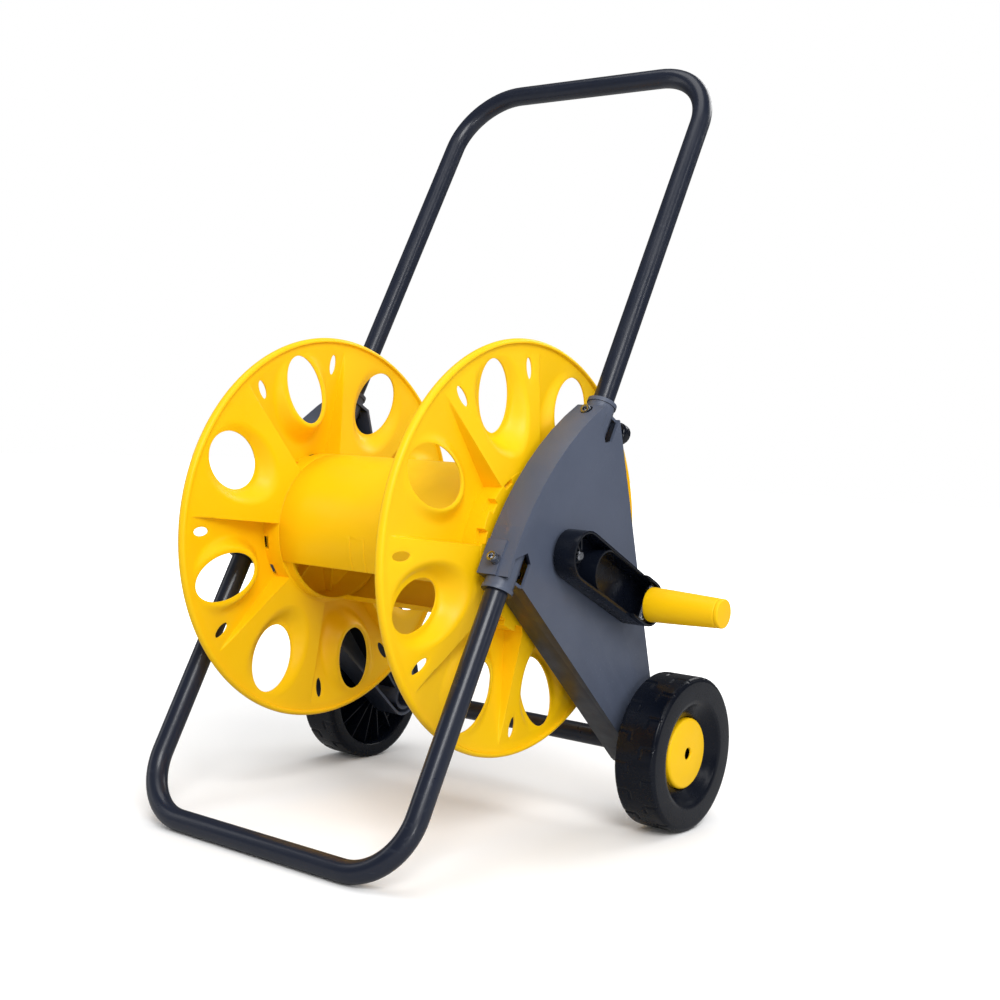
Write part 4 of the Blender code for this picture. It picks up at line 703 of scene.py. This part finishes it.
def wheelPiece(name, w, side, body):
    # a turned outline whose radius drops in the tread's hooked grooves, with thin marks on its outer face
    outline = [
        (w["hubIn"], w["bore"]), (w["hubOut"], w["bore"]), (w["hubOut"], w["hubRadius"]),
        (w["webOut"], w["hubRadius"] + 0.0006), (w["webOut"], w["cap"]),
        (w["dishX"], w["cap"] + 0.0004), (w["outer"] - 0.0042, w["dishRadius"] - 0.0015),
        (w["outer"] - 0.0010, w["dishRadius"] + 0.0025), (w["outer"], w["dishRadius"] + 0.006),
        (w["outer"], w["radius"] - 0.0042), (w["outer"] - 0.0022, w["radius"] - 0.0004),
        (w["outer"] - 0.0050, w["radius"]), (w["inner"] + 0.0050, w["radius"]),
        (w["inner"] + 0.0022, w["radius"] - 0.0004), (w["inner"], w["radius"] - 0.0040),
        (w["inner"], 0.0634), (w["inner"] + 0.004, 0.0622),
        (w["webIn"] - 0.001, 0.0600), (w["webIn"], 0.0570),
        (w["webIn"], w["hubRadius"] + 0.001), (w["hubIn"], w["hubRadius"]),
    ]
    profile = roundCorners(outline, 0.0011, 3)
    # more rows across the tread, where the grooves are
    dense = [profile[0]]
    for p in profile[1:]:
        far = np.linalg.norm(p - dense[-1])
        onTread = min(p[1], dense[-1][1]) > 0.066 and far > 0.0016
        cuts = int(math.ceil(far / w["rowStep"])) if onTread else 1
        dense += [dense[-1] + (p - dense[-1]) * k / cuts for k in range(1, cuts)] + [p]
    profile = np.array(dense)
    angles = np.arange(w["columns"]) * tau / w["columns"]
    x = np.repeat(profile[:, :1], w["columns"], 1)
    r = np.repeat(profile[:, 1:], w["columns"], 1)
    middle = (w["inner"] + w["outer"]) / 2
    turn = angles[None, :] * w["blocks"] / tau
    half = np.where(x > middle, 0.0, 0.5)
    phase = np.mod(turn + half, 1) - 0.5
    onTread = smooth((r - (w["radius"] - 0.0022)) / 0.0015)
    crossGroove = 1 - smooth((np.abs(phase) - 0.030) / 0.025)
    reachIn = smooth((np.abs(x - middle) - 0.0060) / 0.0012)
    fromHook = np.abs(np.abs(x - middle) - w["hookMiddle"])
    hookLine = 1 - smooth((fromHook - w["hookHalf"]) / 0.0009)
    hook = hookLine * smooth(phase / 0.02) * smooth((w["hookLength"] - phase) / 0.02)
    depth = w["groove"] * onTread * np.maximum(crossGroove * reachIn, hook)
    # short marks and dots by turns
    place = angles[None, :] * w["marks"] / tau
    across = np.abs(np.mod(place, 1) - 0.5) * tau / w["marks"] * r
    longOne = np.mod(np.floor(place), 2) == 0
    start = np.where(longOne, w["longMark"][0], w["shortMark"][0])
    end = np.where(longOne, w["longMark"][1], w["shortMark"][1])
    mark = (1 - smooth((across - w["markHalf"]) / 0.0005)) * (x > w["outer"] - 0.0015)
    mark = mark * smooth((r - start) / 0.0006) * smooth((end - r) / 0.0006)
    x = x + w["markHeight"] * mark
    r = r - depth
    points = np.stack([side * x, wheelY + r * np.cos(angles), wheelZ + r * np.sin(angles)], -1).reshape(-1, 3)
    faces = gridFaces(len(profile), w["columns"], True, True)
    return makePiece(name, points, faces, body, "black_plastic", 48)


def wheelRibs(name, w, side, body):
    # flat ribs in the hollow behind the web, from the hub to the tyre
    foot, head = w["hubRadius"] - 0.001, w["webIn"] + 0.001
    outline = roundCorners([
        (head, foot), (w["inner"] + 0.003, foot), (w["inner"] + 0.006, 0.0625), (head, 0.0590),
    ], 0.001, 2)
    angles = np.arange(w["ribs"]) * tau / w["ribs"] + w["firstRib"]
    return ribFan(name, outline, angles, w["ribHalf"], (wheelY, wheelZ), side, body, "black_plastic")


cap = dict(
    radius=0.0360, wall=0.0022, hole=0.0060, seat=0.2177, edge=0.2279, crown=0.2319,
    shoulderHeight=0.0030, shoulderWidth=0.0034, domeLength=0.012,
)


def capPiece(name, c, side, body):
    # a shallow domed disc with a rounded shoulder and a hole for the rod's end
    inner = c["radius"] - c["wall"]
    shoulder = np.linspace(0, math.pi / 2, 9)
    height, width = c["shoulderHeight"], c["shoulderWidth"]
    dome = [(c["edge"] + height * math.sin(t), c["radius"] - width * (1 - math.cos(t))) for t in shoulder]
    rise = c["crown"] - c["edge"] - height
    domeEnd = c["radius"] - width
    crown = [(c["edge"] + height + rise * smooth(s), domeEnd - s * c["domeLength"]) for s in (0.3, 0.6, 1.0)]
    under = c["crown"] - c["wall"]
    outline = [(c["seat"], c["radius"]), *dome, *crown, (c["crown"] + 0.0002, 0.012)]
    outline += [(c["crown"], c["hole"] + 0.0008), (c["crown"] - 0.0008, c["hole"]), (under, c["hole"])]
    outline += [(under, inner - 0.014), (c["edge"], inner - 0.002), (c["edge"] - 0.002, inner)]
    outline += [(c["seat"], inner)]
    return turnedPiece(name, outline, 96, (wheelY, wheelZ), body, "yellow_plastic", side)


for word, side in (("Right", 1), ("Left", -1)):
    low = word.lower()
    body = "wheel_" + low
    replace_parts(wheelPiece("wheel" + word, wheel, side, body), "wheel_" + low)
    wheelRibs("wheelRibs" + word, wheel, side, body)
    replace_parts(capPiece("hubCap" + word, cap, side, body), "hub_cap_" + low)
print("wheels made")

# panels, crank and fittings: the CAD shapes with rounded corners
for word in ("left", "right"):
    bevelledCopy("side_panel_" + word, "frame", "grey_plastic", 0.0010, 4)
    for node in ("handle_bolt_", "foot_bolt_", "foot_nut_"):
        bevelledCopy(node + word, "frame", "zinc_steel", 0.0003, 2)
bevelledCopy("handle_nut", "frame", "zinc_steel", 0.0003, 2)
bevelledCopy("handle_knob", "frame", "black_plastic", 0.0006)
bevelledCopy("crank_arm", "reel", "black_plastic", 0.0006)

grip = dict(
    base=0.0057, length=0.0810, baseRadius=0.0176, endRadius=0.0143, bore=0.0045, endWall=0.0060, edge=0.0014,
    grooveFromEnd=0.0045, grooveHalf=0.0009, grooveDepth=0.0006,
)


def gripPiece(g, body):
    # a tapered sleeve turned about the hinge's X line, with a fine groove before its flat end
    pivot = joints["grip_fold"]["pos_m"]
    base, end = pivot[0] + g["base"], pivot[0] + g["base"] + g["length"]
    taper = (g["baseRadius"] - g["endRadius"]) / g["length"]

    def side(x):
        return g["baseRadius"] - taper * (x - base)

    groove = end - g["grooveFromEnd"]
    outline = [
        (end - g["endWall"], 0), (end - g["endWall"], g["bore"]), (base, g["bore"]),
        (base, g["baseRadius"] - 0.0003), (base + 0.02, side(base + 0.02)),
        (groove - g["grooveHalf"], side(groove)), (groove, side(groove) - g["grooveDepth"]),
        (groove + g["grooveHalf"], side(groove)), (end, g["endRadius"]), (end, 0),
    ]
    profile = roundCorners(outline, g["edge"], 4, closed=False)
    piece = turnedPiece("gripSleeve", profile, 96, pivot[1:], body, "yellow_plastic", closed=False)
    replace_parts(piece, "grip")


gripPiece(grip, "grip")
print("grip made")

# every CAD solid gets its finish; those that nothing replaces are shown as they are
for entry in frame["record"]["subparts"]:
    node = nodes[entry["node"]]
    node.data.materials.clear()
    node.data.materials.append(materials[entry["material_slot"]])
